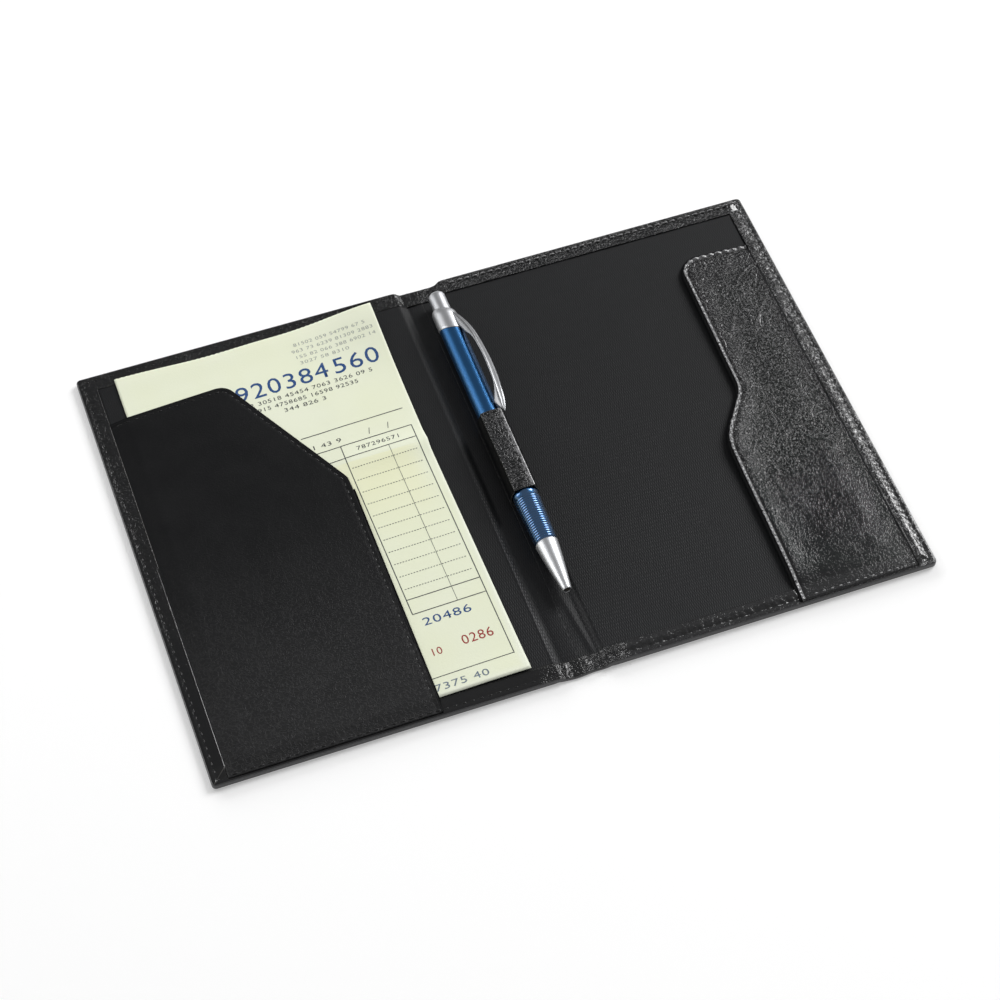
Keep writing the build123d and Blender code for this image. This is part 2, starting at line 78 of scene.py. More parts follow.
# ---- sizes that the solids give ----
COVER_LOW, COVER_HIGH = corners("back_skin")
CREASE_X, OUTER_X = COVER_LOW[0], COVER_HIGH[0]
HALF_HEIGHT, HEM_TOP = COVER_HIGH[1], COVER_HIGH[2]
HEM_X, HEM_Y, LINING_TOP = corners("back_lining")[1]
HEM_WIDTH = OUTER_X - HEM_X
SPINE_TOP = corners("spine_lining")[1][2]
CHECK_LOW, CHECK_HIGH = corners("check_pocket")
CARD_LOW, CARD_HIGH = corners("card_pocket")
SLIP_LOW, SLIP_HIGH = corners("guest_check")
LOOP_LOW, LOOP_HIGH = corners("pen_loop")
GRIP_LOW, GRIP_HIGH = corners("pen_grip")
PEN_X = (GRIP_LOW[0] + GRIP_HIGH[0]) / 2
PEN_Z = (GRIP_LOW[2] + GRIP_HIGH[2]) / 2
GRIP_Y, JOINT_Y = GRIP_LOW[1], GRIP_HIGH[1]
TIP_Y, BUTTON_Y = corners("pen_nose")[0][1], corners("pen_plunger")[1][1]

# ---- sizes and angles of their own ----
TURN = 2 * math.pi
CORNER_RADIUS = 1.6
FACET = (128.0, 86.0)  # the worn corner of the head
FOLD_Y = 20.4  # the check's fold
LEATHER, CLOTH, PAPER = 0.00045, 0.00022, 0.00012  # thickness of the sheets, in metres
SPINE_RUN = np.arange(0, 14, 0.25)  # stations from the spine's middle over a crease
CLIP_TURN = math.radians(45.0)  # where the clip stands, round the pen from +X
SLANT = math.tan(math.radians(20.0))  # lean of the collar's lower end
COLLAR_Y = JOINT_Y + 76.85
CROWN_Y = COLLAR_Y + 10.2


# ======================= numbers and curves =======================


def ease(low, high, x):
    """0 up to low, 1 from high on, with a cubic that starts and ends level between them."""
    share = np.clip((x - low) / (high - low), 0, 1)
    return share * share * (3 - 2 * share)


def bell(x, middle, width):
    """A rounded bump of height 1: exp of minus the squared distance in widths."""
    return np.exp(-(((x - middle) / width) ** 2))


def curve_through(knots, values, at):
    """Cubic Hermite curve through the knots, whose slopes are the values' central differences."""
    knots, values = np.asarray(knots, float), np.asarray(values, float)
    slopes = np.gradient(values, knots)
    i = np.clip(np.searchsorted(knots, at) - 1, 0, len(knots) - 2)
    span = knots[i + 1] - knots[i]
    t = np.clip((at - knots[i]) / span, 0, 1)
    start = (1 + 2 * t) * (1 - t) ** 2 * values[i] + t * (1 - t) ** 2 * span * slopes[i]
    end = t * t * (3 - 2 * t) * values[i + 1] + t * t * (t - 1) * span * slopes[i + 1]
    return start + end


def unevenness(x, y, size, seed):
    """Smooth random height from -1 to 1: values hashed at the corners of squares, eased between."""
    u, v = np.asarray(x) / size, np.asarray(y) / size
    i, j = np.floor(u), np.floor(v)
    s, t = ease(0, 1, u - i), ease(0, 1, v - j)

    def at(a, b):
        value = np.sin(a * 12.9898 + b * 78.233 + seed * 37.719) * 4375.85
        return 2 * (value - np.floor(value)) - 1

    low = at(i, j) * (1 - s) + at(i + 1, j) * s
    high = at(i, j + 1) * (1 - s) + at(i + 1, j + 1) * s
    return low * (1 - t) + high * t


def along_path(points):
    """Distance run at each point of a path."""
    steps = np.linalg.norm(np.diff(points, axis=0), axis=1)
    return np.concatenate([[0], np.cumsum(steps)])


def resample(points, at):
    """Points of a path at the given distances along it."""
    run = along_path(points)
    return np.stack([np.interp(at, run, points[:, k]) for k in range(points.shape[1])], 1)


def nearest(points, x, y):
    """Distance from each (x, y) to a path in the plane, and the run of its foot on the path."""
    shape = np.shape(x)
    p = np.stack([np.ravel(x), np.ravel(y)], 1)[:, None, :]
    a, b = points[None, :-1, :2], points[None, 1:, :2]
    along = b - a
    share = ((p - a) * along).sum(-1) / np.maximum((along**2).sum(-1), 1e-12)
    share = np.clip(share, 0, 1)
    far = np.sqrt(((p - a - share[..., None] * along) ** 2).sum(-1))
    least = far.argmin(1)
    row = np.arange(len(least))
    run = along_path(points)
    foot = run[least] + share[row, least] * np.diff(run)[least]
    return far[row, least].reshape(shape), foot.reshape(shape)


def distance_to(points, x, y):
    """Distance from each (x, y) to a path in the plane."""
    return nearest(points, x, y)[0]


def rounded_path(radii, *corner_points, step=0.5):
    """Path with straight runs and round corners: each corner's arc touches both its runs."""
    pts = np.array(corner_points, float)
    pieces = [pts[:1]]
    for radius, before, corner, after in zip(radii, pts, pts[1:], pts[2:]):
        back, on = before - corner, after - corner
        back, on = back / np.linalg.norm(back), on / np.linalg.norm(on)
        half = math.acos(np.clip(back @ on, -1, 1)) / 2
        reach = radius / math.tan(half)
        centre = corner + (back + on) / np.linalg.norm(back + on) * radius / math.sin(half)
        first, last = corner + back * reach - centre, corner + on * reach - centre
        turn = math.acos(np.clip(first @ last / radius**2, -1, 1))
        t = np.linspace(0, 1, max(int(turn * radius / step), 6))[:, None]
        arc = (np.sin((1 - t) * turn) * first + np.sin(t * turn) * last) / math.sin(turn)
        pieces.append(centre + arc)
    path = np.concatenate([*pieces, pts[-1:]])
    run = along_path(path)
    return resample(path, np.linspace(0, run[-1], int(run[-1] / step) + 1))


def to_left(run):
    """Directions in the plane, turned a quarter to their left."""
    return np.stack([-run[:, 1], run[:, 0]], 1)


def offset_path(path, distance):
    """The same path moved sideways, to its left for a positive distance."""
    tangent = np.gradient(path[:, :2], axis=0)
    tangent /= np.linalg.norm(tangent, axis=1)[:, None]
    return path[:, :2] + distance * to_left(tangent)


# ======================= meshes =======================


class Surface:
    """Gathers grids of points in millimetres and makes one mesh of them."""

    def __init__(self):
        self.points, self.faces, self.finishes, self.count = [], [], [], 0

    def add(self, points, faces, finish=0):
        """Points and faces that count from this patch's own first point."""
        self.points.append(np.asarray(points, float).reshape(-1, 3))
        self.faces += [[int(k) + self.count for k in face] for face in faces]
        self.finishes += [finish] * len(faces)
        self.count += len(self.points[-1])

    def grid(self, points, closed=False, flip=False, finish=0, looped=False, capped=False):
        """Four-sided faces over rows and columns; closed joins the columns and looped the rows,
        and capped fills the first and last row of a closed grid."""
        rows, columns = points.shape[:2]
        index = np.arange(rows * columns).reshape(rows, columns)
        caps = [index[0, ::-1], index[-1]] if capped else []
        if closed:
            index = np.concatenate([index, index[:, :1]], 1)
        if looped:
            index = np.concatenate([index, index[:1]], 0)
        quads = np.stack([index[:-1, :-1], index[:-1, 1:], index[1:, 1:], index[1:, :-1]], -1)
        quads = quads.reshape(-1, 4)
        self.add(points, [*(quads[:, ::-1] if flip else quads), *caps], finish)

    def build(self, name, materials, weld=0.002, sharp=None, outward=False):
        """The mesh object, in metres, its touching points welded and its poles closed."""
        mesh = bpy.data.meshes.new(name)
        mesh.from_pydata((np.concatenate(self.points) * MM).tolist(), [], self.faces)
        mesh.polygons.foreach_set("material_index", self.finishes)
        work = bmesh.new()
        work.from_mesh(mesh)
        bmesh.ops.remove_doubles(work, verts=work.verts, dist=weld * MM)
        bmesh.ops.dissolve_degenerate(work, edges=work.edges, dist=weld * MM * 0.1)
        if outward:
            bmesh.ops.recalc_face_normals(work, faces=work.faces)
        work.to_mesh(mesh)
        work.free()
        mesh.polygons.foreach_set("use_smooth", [True] * len(mesh.polygons))
        if sharp is not None:
            mesh.set_sharp_from_angle(angle=math.radians(sharp))
        for material in materials:
            mesh.materials.append(material)
        piece = bpy.data.objects.new(name, mesh)
        bpy.context.scene.collection.objects.link(piece)
        return piece


def thicken(piece, thickness):
    """Gives a sheet its thickness in metres, on the side away from its faces' front."""
    solid = piece.modifiers.new("thickness", "SOLIDIFY")
    solid.thickness, solid.offset = thickness, -1.0


def tube(rows, segments=160):
    """Points round the pen's axis, a ring for each row: its radius, its Y, and the share of the
    collar's slant that it leans by."""
    angle = np.linspace(0, TURN, segments, endpoint=False)
    radius, y, lean = (np.array(column, float)[:, None] for column in zip(*rows))
    y = y - lean * SLANT * radius * np.cos(angle - CLIP_TURN)
    return np.stack([PEN_X + radius * np.cos(angle), y, PEN_Z + radius * np.sin(angle)], -1)


def joined(*runs):
    """One run of numbers out of several, each of which starts where the one before it ends."""
    return np.concatenate([run[:-1] for run in runs[:-1]] + [runs[-1]])


def settle(piece, body, slot, *nodes):
    """A piece rides on its body and stands for its nodes; the slot of its finish is not used."""
    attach(piece, body)
    if nodes:
        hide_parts(*nodes)


def dress(material, *nodes):
    """Gives the solids that stay their finish."""
    for node in nodes:
        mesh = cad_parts[node].data
        mesh.materials.clear()
        mesh.materials.append(material)


# ======================= materials =======================


class Term:
    """A shader socket that can be used in Python arithmetic; each operation adds its Math node."""

    def __init__(self, finish, socket):
        self.finish, self.socket = finish, socket

    def __add__(self, other):
        return self.finish.math("ADD", self, other)

    def __sub__(self, other):
        return self.finish.math("SUBTRACT", self, other)

    def __rsub__(self, other):
        return self.finish.math("SUBTRACT", other, self)

    def __mul__(self, other):
        return self.finish.math("MULTIPLY", self, other)

    def __pow__(self, other):
        return self.finish.math("POWER", self, other)

    def __abs__(self):
        return self.finish.math("ABSOLUTE", self)

    __radd__, __rmul__ = __add__, __mul__

    def ease(self, low, high):
        """0 at low, 1 at high, eased between; high may be the lower one."""
        setup = {"interpolation_type": "SMOOTHSTEP"}
        inputs = {"Value": self, "From Min": low, "From Max": high}
        return self.finish.node("ShaderNodeMapRange", setup, inputs)


class Finish:
    """A principled material; constants are set on its sockets, and expressions feed the rest."""

    def __init__(self, name, **constants):
        self.material = bpy.data.materials.new(name)
        self.material.use_nodes = True
        self.tree = self.material.node_tree
        self.shader = self.tree.nodes["Principled BSDF"]
        for key, value in constants.items():
            self.shader.inputs[key.replace("_", " ")].default_value = value

    def node(self, kind, setup=None, inputs=None, output=0):
        """Adds a node: its settings first, then the values or links of its sockets."""
        made = self.tree.nodes.new(kind)
        for key, value in (setup or {}).items():
            setattr(made, key, value)
        for key, value in (inputs or {}).items():
            if isinstance(value, Term):
                self.tree.links.new(value.socket, made.inputs[key])
            else:
                made.inputs[key].default_value = value
        return Term(self, made.outputs[output])

    def math(self, operation, *values):
        return self.node("ShaderNodeMath", {"operation": operation}, dict(enumerate(values)))

    def place(self, scale=(1, 1, 1), turn=0.0):
        """Object coordinates in metres, scaled and turned about Z."""
        source = self.node("ShaderNodeTexCoord", output="Object")
        inputs = {"Vector": source, "Scale": scale, "Rotation": (0, 0, turn)}
        return self.node("ShaderNodeMapping", {}, inputs)

    def axes(self, vector=None):
        """X and Y of a vector, or of the place in millimetres."""
        vector = vector or self.place((1 / MM,) * 3)
        outputs = self.node("ShaderNodeSeparateXYZ", {}, {"Vector": vector}).socket.node.outputs
        return Term(self, outputs[0]), Term(self, outputs[1])

    def noise(self, vector, scale, detail=2.0, roughness=0.5, distortion=0.0, output=0):
        inputs = {"Vector": vector, "Scale": scale, "Detail": detail}
        inputs |= {"Roughness": roughness, "Distortion": distortion}
        return self.node("ShaderNodeTexNoise", {}, inputs, output)

    def cells(self, vector, scale):
        return self.node("ShaderNodeTexVoronoi", {}, {"Vector": vector, "Scale": scale})

    def warped(self, vector, scale, amount):
        """The vector pushed about by noise, so that a pattern on it wanders."""
        push = self.noise(vector, scale, 1.0, output="Color")
        inputs = {0: push, 1: (amount,) * 3, 2: vector}
        return self.node("ShaderNodeVectorMath", {"operation": "MULTIPLY_ADD"}, inputs)

    def between(self, share, first, second):
        """Mix of two colours by a share."""
        colours = [c if isinstance(c, Term) else (*c, 1.0) for c in (first, second)]
        inputs = {"Factor": share, 6: colours[0], 7: colours[1]}
        return self.node("ShaderNodeMix", {"data_type": "RGBA"}, inputs, 2)

    def feed(self, socket, term):
        self.tree.links.new(term.socket, self.shader.inputs[socket])

    def relief(self, height, distance):
        """Bump of that height, its distance in metres at height 1."""
        inputs = {"Height": height, "Distance": distance, "Strength": 1.0}
        self.feed("Normal", self.node("ShaderNodeBump", {}, inputs))

    def made(self, roughness, colour):
        """The material, once these two are fed."""
        self.feed("Roughness", roughness)
        self.feed("Base Color", colour)
        return self.material


_made = {}


def finish_of(maker):
    """Makes each material once and hands the same one out after that."""

    def hand_out(*values):
        key = (maker.__name__, *values)
        if key not in _made:
            _made[key] = maker(*values)
        return _made[key]

    return hand_out


def settings(group):
    """The add-on's settings of that group: cover, paper, pen or stage."""
    return getattr(bpy.context.scene, "presenter_" + group)


def shade(colour, share=1.0):
    """The colour times a share, darker below 1 and lighter above it."""
    return tuple(share * c for c in colour)


def plain_finish(name, pattern, depth, matt, dark, light, stretch=(1, 1, 1), share=None, **constants):
    """A finish out of one noise pattern: its relief in metres, its least roughness and how much
    the pattern adds, and two colours, mixed by the pattern or by a share worked out from it."""
    f = Finish(name, **constants)
    rub = f.noise(f.place(stretch), *pattern)
    if depth:
        f.relief(rub, depth)
    return f.made(matt[0] + matt[1] * rub, f.between(share(f, rub) if share else rub, dark, light))


@finish_of
def grained_leather(name="grained leather", crush=1.0, rubbed=1.0, shine=0.5):
    """Black leatherette with a crushed grain: a maze of fine ridges over low pebbles, pores
    between them and a few long soft creases. The ridges shine most and are painted paler, partly
    as rubbed wear and partly as a painted highlight.

    The grain is flattest at the tail, except over the spine, and is rubbed flat at the far right
    corner. A pale cut line runs across the mitre at the tail's left corner. The tail's edge is
    painted paler, a painted highlight. Leather crushed by more than 1 has painted glints on its
    ridges, a painted highlight in the thread's colour.
    """
    cover = settings("cover")
    f = Finish(name, Specular_IOR_Level=shine)
    grain = cover.grain / MM
    place = f.warped(f.place(), 300.0, 0.0006)
    pebble = 1 - f.cells(place, 1000.0 / grain) ** 2
    ridge = abs(f.noise(place, 660.0 / grain, 1.4, 0.5, 0.5) - 0.5).ease(0.12, 0.0)
    patches = f.noise(f.place(), 95.0)
    lines = f.noise(f.place((1.0, 0.45, 1.0), 0.55), 110.0, 2.0, 0.55, 0.6)
    crease = abs(lines - 0.5).ease(0.0, 0.02)
    x, y = f.axes()
    corner = ((x - FACET[0]) ** 2 + (y - FACET[1]) ** 2).ease(2.5, 9.0) * 0.9 + 0.1
    spine = abs(x).ease(18.0, 13.0)
    tail = f.math("MINIMUM", y.ease(-85.0, 35.0) * 0.95 + spine * 1.1, 1.3) + 0.15
    cut = abs(y - x - (OUTER_X - HALF_HEIGHT)).ease(0.32, 0.0) * x.ease(-124.9, -125.3)
    depth = patches.ease(0.3, 0.7) * 0.3 + 0.7
    height = (pebble * 0.15 + ridge * 0.85) * depth + crease * 0.35
    f.relief(height * corner * tail, crush * cover.grain_depth)
    # Ridge colour and painted highlight: the ridges are painted paler, partly as rubbed wear and
    # partly as the highlight they catch; the tail's edge is painted paler too.
    worn = shade(cover.rubbed, crush * rubbed)
    lit = ridge ** 1.5 * depth * corner * (0.3 + 0.7 * tail) + y.ease(-82.5, -84.5) * 0.5
    plain = f.between(lit, shade(cover.leather), worn)
    # Painted glints: crushed leather gets the thread's pale colour painted on patches of its ridges.
    if crush > 1.0:
        painted_glint = ridge ** 2 * f.noise(f.place(), 420.0, 2.0, 0.6).ease(0.5, 0.6)
        plain = f.between(painted_glint * 0.7, plain, shade(cover.thread))
    colour = f.between(cut * 0.6, plain, shade(cover.cut_edge))
    return f.made(0.19 - 0.06 * ridge + 0.05 * patches, colour)


@finish_of
def rim_leather():
    """Leatherette stretched round the boards' edge, its grain pulled flat, painted grey as a painted
    reflection of the pale floor.
    """
    rubbed = settings("cover").rubbed
    return plain_finish(
        "rim leather", (900.0, 3.0, 0.6), 0.00004, (0.32, 0.1), shade(rubbed), shade(rubbed, 3.0),
        Specular_IOR_Level=0.6,
    )


@finish_of
def polished_leather():
    """Leatherette where a folded edge stands up, smooth and painted pale as a painted highlight along
    its crest.
    """
    cover = settings("cover")
    return plain_finish(
        "polished leather", (900.0, 2.0, 0.5), 0.00004, (0.22, 0.14), shade(cover.leather),
        shade(cover.rubbed, 7.0), share=lambda f, rub: rub.ease(0.3, 0.65), Specular_IOR_Level=1.0,
    )


@finish_of
def edge_leather():
    """A folded edge's outer side, painted darker and duller than the leather: a painted shade."""
    leather = settings("cover").leather
    return plain_finish(
        "edge leather", (900.0, 2.0, 0.5), 0.00003, (0.5, 0.1), shade(leather, 0.5), shade(leather),
        Specular_IOR_Level=0.08,
    )


@finish_of
def smooth_leather():
    """Black leatherette pressed nearly flat, with a faint fine grain and soft stains. Towards the
    tail its grain shows more and it is painted paler, a painted sheen."""
    cover = settings("cover")
    f = Finish("smooth leather", Specular_IOR_Level=0.2)
    place = f.warped(f.place(), 300.0, 0.0009)
    ridge = abs(f.noise(place, 500.0 / (cover.grain / MM), 2.0, 0.55, 0.4) - 0.5).ease(0.08, 0.0)
    fine = f.noise(place, 2400.0, 2.0, 0.6)
    patches = f.noise(f.place(), 60.0, 3.0, 0.55)
    spots = f.noise(f.place(), 420.0, 3.0, 0.7).ease(0.62, 0.75)
    _, y = f.axes()
    lower = y.ease(20.0, -70.0)
    f.relief(ridge * (0.4 + 1.5 * lower) + fine * 0.3 + spots * 0.4, cover.grain_depth * 0.2)
    # Soft stains, and a painted sheen that lightens the pocket towards the tail, with paler grain
    # ridges there.
    worn = patches.ease(0.3, 0.7) * 0.1 + y.ease(10.0, -85.0) * 0.75 + ridge * lower * 0.3
    colour = f.between(worn, shade(cover.leather), shade(cover.rubbed, 0.64))
    return f.made(0.4 + 0.14 * patches, colour)


@finish_of
def lining_cloth():
    """Fine black lining: short raised threads along Y, set brick fashion, slightly slanted and
    a little uneven, with brighter rows here and there. It is painted paler at the head and the
    tail, a painted sheen, and pale threads are painted along the creases of the spine as their
    highlight."""
    cover = settings("cover")
    weave = cover.weave / MM
    f = Finish("lining cloth", Specular_IOR_Level=0.24)
    slant = 0.05
    x, y = f.axes(f.warped(f.place((1 / MM,) * 3, slant), 0.5, 0.7))
    thread = f.math("SINE", x * (TURN / weave)) * f.math("SINE", y * (TURN / 4 / weave))
    fuzz = f.noise(f.place(), 2600.0, 2.0, 0.6)
    rows = f.noise(f.place((0.25, 1.0, 1.0), slant), 420.0)
    patches = f.noise(f.place(), 40.0, 3.0, 0.6)
    nap = 0.45 + 0.55 * y.ease(70.0, -50.0)
    f.relief(thread * nap * 0.28 + fuzz * 0.45, 0.0001)
    out, down = f.axes()
    # Painted sheen: the cloth is painted paler towards the tail and the head.
    painted_sheen_at_ends = down.ease(-10.0, -80.0) * 0.3 + down.ease(40.0, 85.0) * 0.15
    light = thread * nap * 0.25 + fuzz * 0.5 + rows * 0.5 + painted_sheen_at_ends - 0.05
    plain = f.between(light, shade(cover.lining, 0.4), shade(cover.lining))
    # Painted highlight: pale threads painted along the slopes of both creases, mostly towards the
    # tail.
    left = out.ease(-9.6, -8.9) * out.ease(-7.2, -8.0)
    right = out.ease(6.4, 7.2) * out.ease(8.8, 8.0)
    pale = (thread * 0.45 + fuzz * 0.9).ease(0.45, 0.9) * down.ease(30.0, -60.0)
    colour = f.between((left + right * 0.3) * pale, plain, shade(cover.rubbed, 4.5))
    return f.made(0.5 + 0.1 * patches + 0.05 * thread, colour)


@finish_of
def thread_finish(name="thread", light=1.0):
    """Waxed thread, its plies as fine ridges; its pale colour is a painted highlight, painted darker
    at the head as a painted shade.
    """
    thread = settings("cover").thread

    def share(f, ply):
        # Painted shade: the thread is painted darker from just below the narrow pocket's top up to the
        # head.
        painted_shade_near_top = f.axes()[1].ease(CARD_HIGH[1] - 3.0, CARD_HIGH[1] - 1.5)
        return ply * (1 - 0.7 * painted_shade_near_top)

    return plain_finish(
        name, (2400.0, 1.0, 0.5), 0.00008, (0.16, 0.2), shade(thread, 0.4 * light),
        shade(thread, light), share=share, Specular_IOR_Level=0.4 + 0.6 * light,
    )


@finish_of
def cut_leather():
    """Burnished cut edge of the leatherette, painted paler than its face except at the head: partly
    its own colour and partly a painted highlight.
    """
    cut = settings("cover").cut_edge
    return plain_finish(
        "cut leather edge", (1800.0, 3.0, 0.6), 0.00004, (0.32, 0.2), shade(cut, 0.2), shade(cut),
        stretch=(1.0, 0.3, 1.0), share=lambda f, fibre: fibre * f.axes()[1].ease(70.0, 64.0),
        Specular_IOR_Level=0.45,
    )


@finish_of
def greyboard():
    """Stiffener inside the panels: grey fibre board with darker flecks."""
    dark, light = (0.16, 0.15, 0.14), (0.34, 0.32, 0.3)
    return plain_finish(
        "greyboard", (900.0, 3.0, 0.65), 0.00005, (0.8, 0.1), dark, light, Specular_IOR_Level=0.2
    )


@finish_of
def check_paper():
    """Pale green-yellow form paper: fibres, a yellower patch under the fold, whiter worn edges."""
    paper = settings("paper")
    f = Finish("check paper", Specular_IOR_Level=0.25, Sheen_Weight=0.05)
    cloud = f.noise(f.place(), 35.0)
    x, y = f.axes()
    patch = x.ease(-70, -45) * x.ease(-20, -30) * y.ease(FOLD_Y + 0.2, FOLD_Y - 0.2) * y.ease(-25, 15)
    rim = 1 - x.ease(SLIP_HIGH[0] - 0.2, SLIP_HIGH[0] - 3.2)
    low = 1 - y.ease(SLIP_LOW[1], SLIP_LOW[1] + 4.0)
    f.relief(f.noise(f.place(), 1500.0, 3.0, 0.6), 0.00003)
    plain = f.between(cloud.ease(0.3, 0.7) * 0.35, shade(paper.face), shade(paper.worn))
    tinted = f.between(patch * 0.55, plain, shade(paper.tint))
    colour = f.between(f.math("MAXIMUM", rim, low) * 0.7, tinted, shade(paper.worn))
    return f.made(0.62 + 0.1 * cloud, colour)


@finish_of
def ink(name, *colour):
    """Printing ink, broken up a little by the paper's fibres."""
    pale = tuple(0.8 * c + 0.12 for c in colour)
    return plain_finish(
        name, (1400.0, 2.0, 0.6), 0, (0.55, 0.1), colour, pale,
        share=lambda f, fibre: fibre.ease(0.45, 0.8) * 0.5, Specular_IOR_Level=0.2,
    )


@finish_of
def blue_lacquer(name="blue lacquer", haze=0.24):
    """Clear blue coat over metal with fine flakes; the less haze, the harder the coat's shine."""
    blue = settings("pen").blue
    coat = {"Coat_Roughness": haze, "Coat_Weight": 1.1 - 2 * haze, "Coat_IOR": 2.2 - 3 * haze}
    f = Finish(name, Metallic=0.95, **coat)
    flake = f.noise(f.place(), 5000.0, 1.0)
    f.relief(flake, 0.0000006)
    roughness = 0.18 + 0.5 * haze + 0.05 * f.noise(f.place(), 160.0)
    return f.made(roughness, f.between(flake, shade(blue, 0.8), shade(blue)))


@finish_of
def satin_silver(name="satin silver", light=1.0):
    """Satin plated metal with a very fine grain and faint handling marks; a light below 1 paints a
    darker copy of it, a painted shade.
    """
    silver = settings("pen").silver
    f = Finish(name, Metallic=1.0)
    grain = f.noise(f.place(), 4200.0, 2.0, 0.6)
    marks = f.noise(f.place((1.0, 0.2, 1.0)), 700.0, 2.0, 0.6)
    f.relief(grain * 0.6 + marks * 0.4, 0.000008)
    colour = f.between(marks, shade(silver, 0.9 * light), shade(silver, light))
    return f.made(0.39 + 0.08 * marks + 0.04 * grain, colour)


@finish_of
def moulded_plastic(name, *colour):
    """Moulded plastic of the pen's inside, with a faint flow texture."""
    dark = shade(colour, 0.85)
    return plain_finish(
        name, (600.0, 2.0, 0.5), 0.00001, (0.35, 0.1), dark, colour, Specular_IOR_Level=0.5
    )


@finish_of
def plain_metal(name, *colour):
    """Drawn or turned metal of the refill, with fine tool marks."""
    dark = shade(colour, 0.85)
    return plain_finish(
        name, (3000.0, 2.0, 0.5), 0.00001, (0.25, 0.12), dark, colour, (0.3, 1.0, 0.3), Metallic=1.0
    )


# ======================= leather and cloth shapes =======================


def board_share(x):
    """1 over the stiff panels and 0 over the soft spine, eased across the creases."""
    return ease(CREASE_X - 2.6, CREASE_X - 0.2, np.abs(x))


def hem_level(x):
    """Top of the turned-in edge: full over a board, two skins thick over the spine."""
    spine = 1.3 + 0.15 * bell(x, 0, 4)
    return spine + (HEM_TOP - 0.12 * (x < 0) - spine) * board_share(x)


def end_shift(x, head):
    """How far the folded end stands in from the panels' ends, over the spine."""
    if head:
        return 0.95 * (1 - ease(5.0, 10.5, np.abs(x - 0.2)))
    return -0.55 * bell(x, -3.0, 5.0) - 0.15 * bell(x, 7.0, 2.5)


def bumps(x, *shapes):
    """Sum of rounded bumps, each a height, a middle and a width."""
    return sum(height * bell(x, middle, width) for height, middle, width in shapes)


def puckers(x, y):
    """Gathers where the turned-in edge has no board under it: ridges across the spine."""
    head = bumps(
        x, (0.3, -8.4, 1.1), (-0.25, -6.3, 0.8), (0.22, -4.6, 0.9), (-0.15, 0.5, 1.6), (0.2, 6.5, 1.3)
    )
    tail = bumps(
        x, (0.32, -9.4, 0.9), (-0.3, -7.9, 0.6), (0.34, -6.5, 0.8), (-0.25, -3.6, 1.2),
        (0.36, 1.4, 0.8), (-0.22, 4.0, 1.3), (0.35, 8.3, 0.8),
    )
    return np.where(y > 0, head, tail)


def stitch_beads(run):
    """1 half way between two stitches and -1 at each, along a sewn run."""
    return np.cos(TURN * run / (settings("cover").stitch_pitch / MM))


def hem_height(x, y, inset, run):
    """Height of the turned-in edge's face at a place inset from the outer edge.

    Panel level with a round outer rim, a sewn groove that is deepest between two stitches, a
    padded swell from there to the cut edge, puckers over the spine and slow unevenness. The
    right half is padded more than the left, and the head is sewn nearly flat. The edge sinks
    under the pockets' feet, steps at the mitre of the tail's left corner, and is pressed into a
    slanted facet at the head's right corner.
    """
    row = settings("cover").stitch_inset / MM
    over_board = board_share(x)
    full = (0.25 + 0.75 * ease(-20, 20, x)) * (1 - 0.75 * ease(HEM_Y, HEM_Y + 1, y))
    beads = stitch_beads(run)
    groove = bell(inset, row, 0.55) * (0.3 + 0.12 * full * beads) * (0.2 + 0.8 * full)
    crest_at = HEM_WIDTH - 2.0
    crest = np.where(inset < crest_at, bell(inset, crest_at, 1.3), 1 - 0.12 * (inset - crest_at))
    swell = 0.46 * full * crest + 0.08 * bell(inset, 1.0, 0.7)
    sewn = full * (0.35 + 0.65 * ease(-20, 30, y))
    swell = swell - 0.13 * sewn * beads * bell(inset, row + 1.0, 0.6)
    swell = swell + 0.22 * full * unevenness(x, y, 1.0, 9) * bell(inset, row + 1.0, 0.9)
    lip = 0.05 * bell(inset, HEM_WIDTH - 0.3, 0.4) * (x < 0)
    bent = x + 0.7 * unevenness(x, y, 1.5, 51) + 0.3 * unevenness(x, y, 0.7, 53)
    gathers = (1 - over_board) * puckers(bent, y) * (0.6 + 0.4 * ease(0.5, 2.5, inset))
    slow = 0.09 * unevenness(x, y, 7.0, 3) + 0.06 * unevenness(x, y, 2.4, 5)
    slow = slow * (0.5 + 0.5 * ease(-20, 20, x))
    pocket = (y < 0) & ((x < CHECK_HIGH[0]) | (x > CARD_LOW[0])) & (np.abs(x) < HEM_X + 0.5)
    foot = HALF_HEIGHT + CHECK_LOW[1]
    sunk = 0.3 * pocket * ease(foot - 0.3, foot + 0.2, inset)
    fold = (HALF_HEIGHT + y - (OUTER_X + x)) / math.sqrt(2)
    mitre = 0.09 * ease(-0.6, 0.6, fold) * ease(4.0, 1.0, fold) * (x < -100) * (y < 0)
    out, up = x - FACET[0], y - FACET[1]
    corner = np.exp(-(((out**2 + up**2) / 6.5) ** 1.6))
    facet = 0.5 - 0.314 * out + 0.192 * up
    relief = swell + lip + gathers + slow * ease(0, 2, inset) - groove * over_board - sunk
    relief = relief + mitre * ease(0.5, 1.5, inset)
    return hem_level(x) + relief * (1 - corner) + facet * corner


def underside(x):
    """The cover's outer face lies on the table, drawn up a little in both creases."""
    return 0.3 * bell(np.abs(x), CREASE_X + 0.4, 0.9)


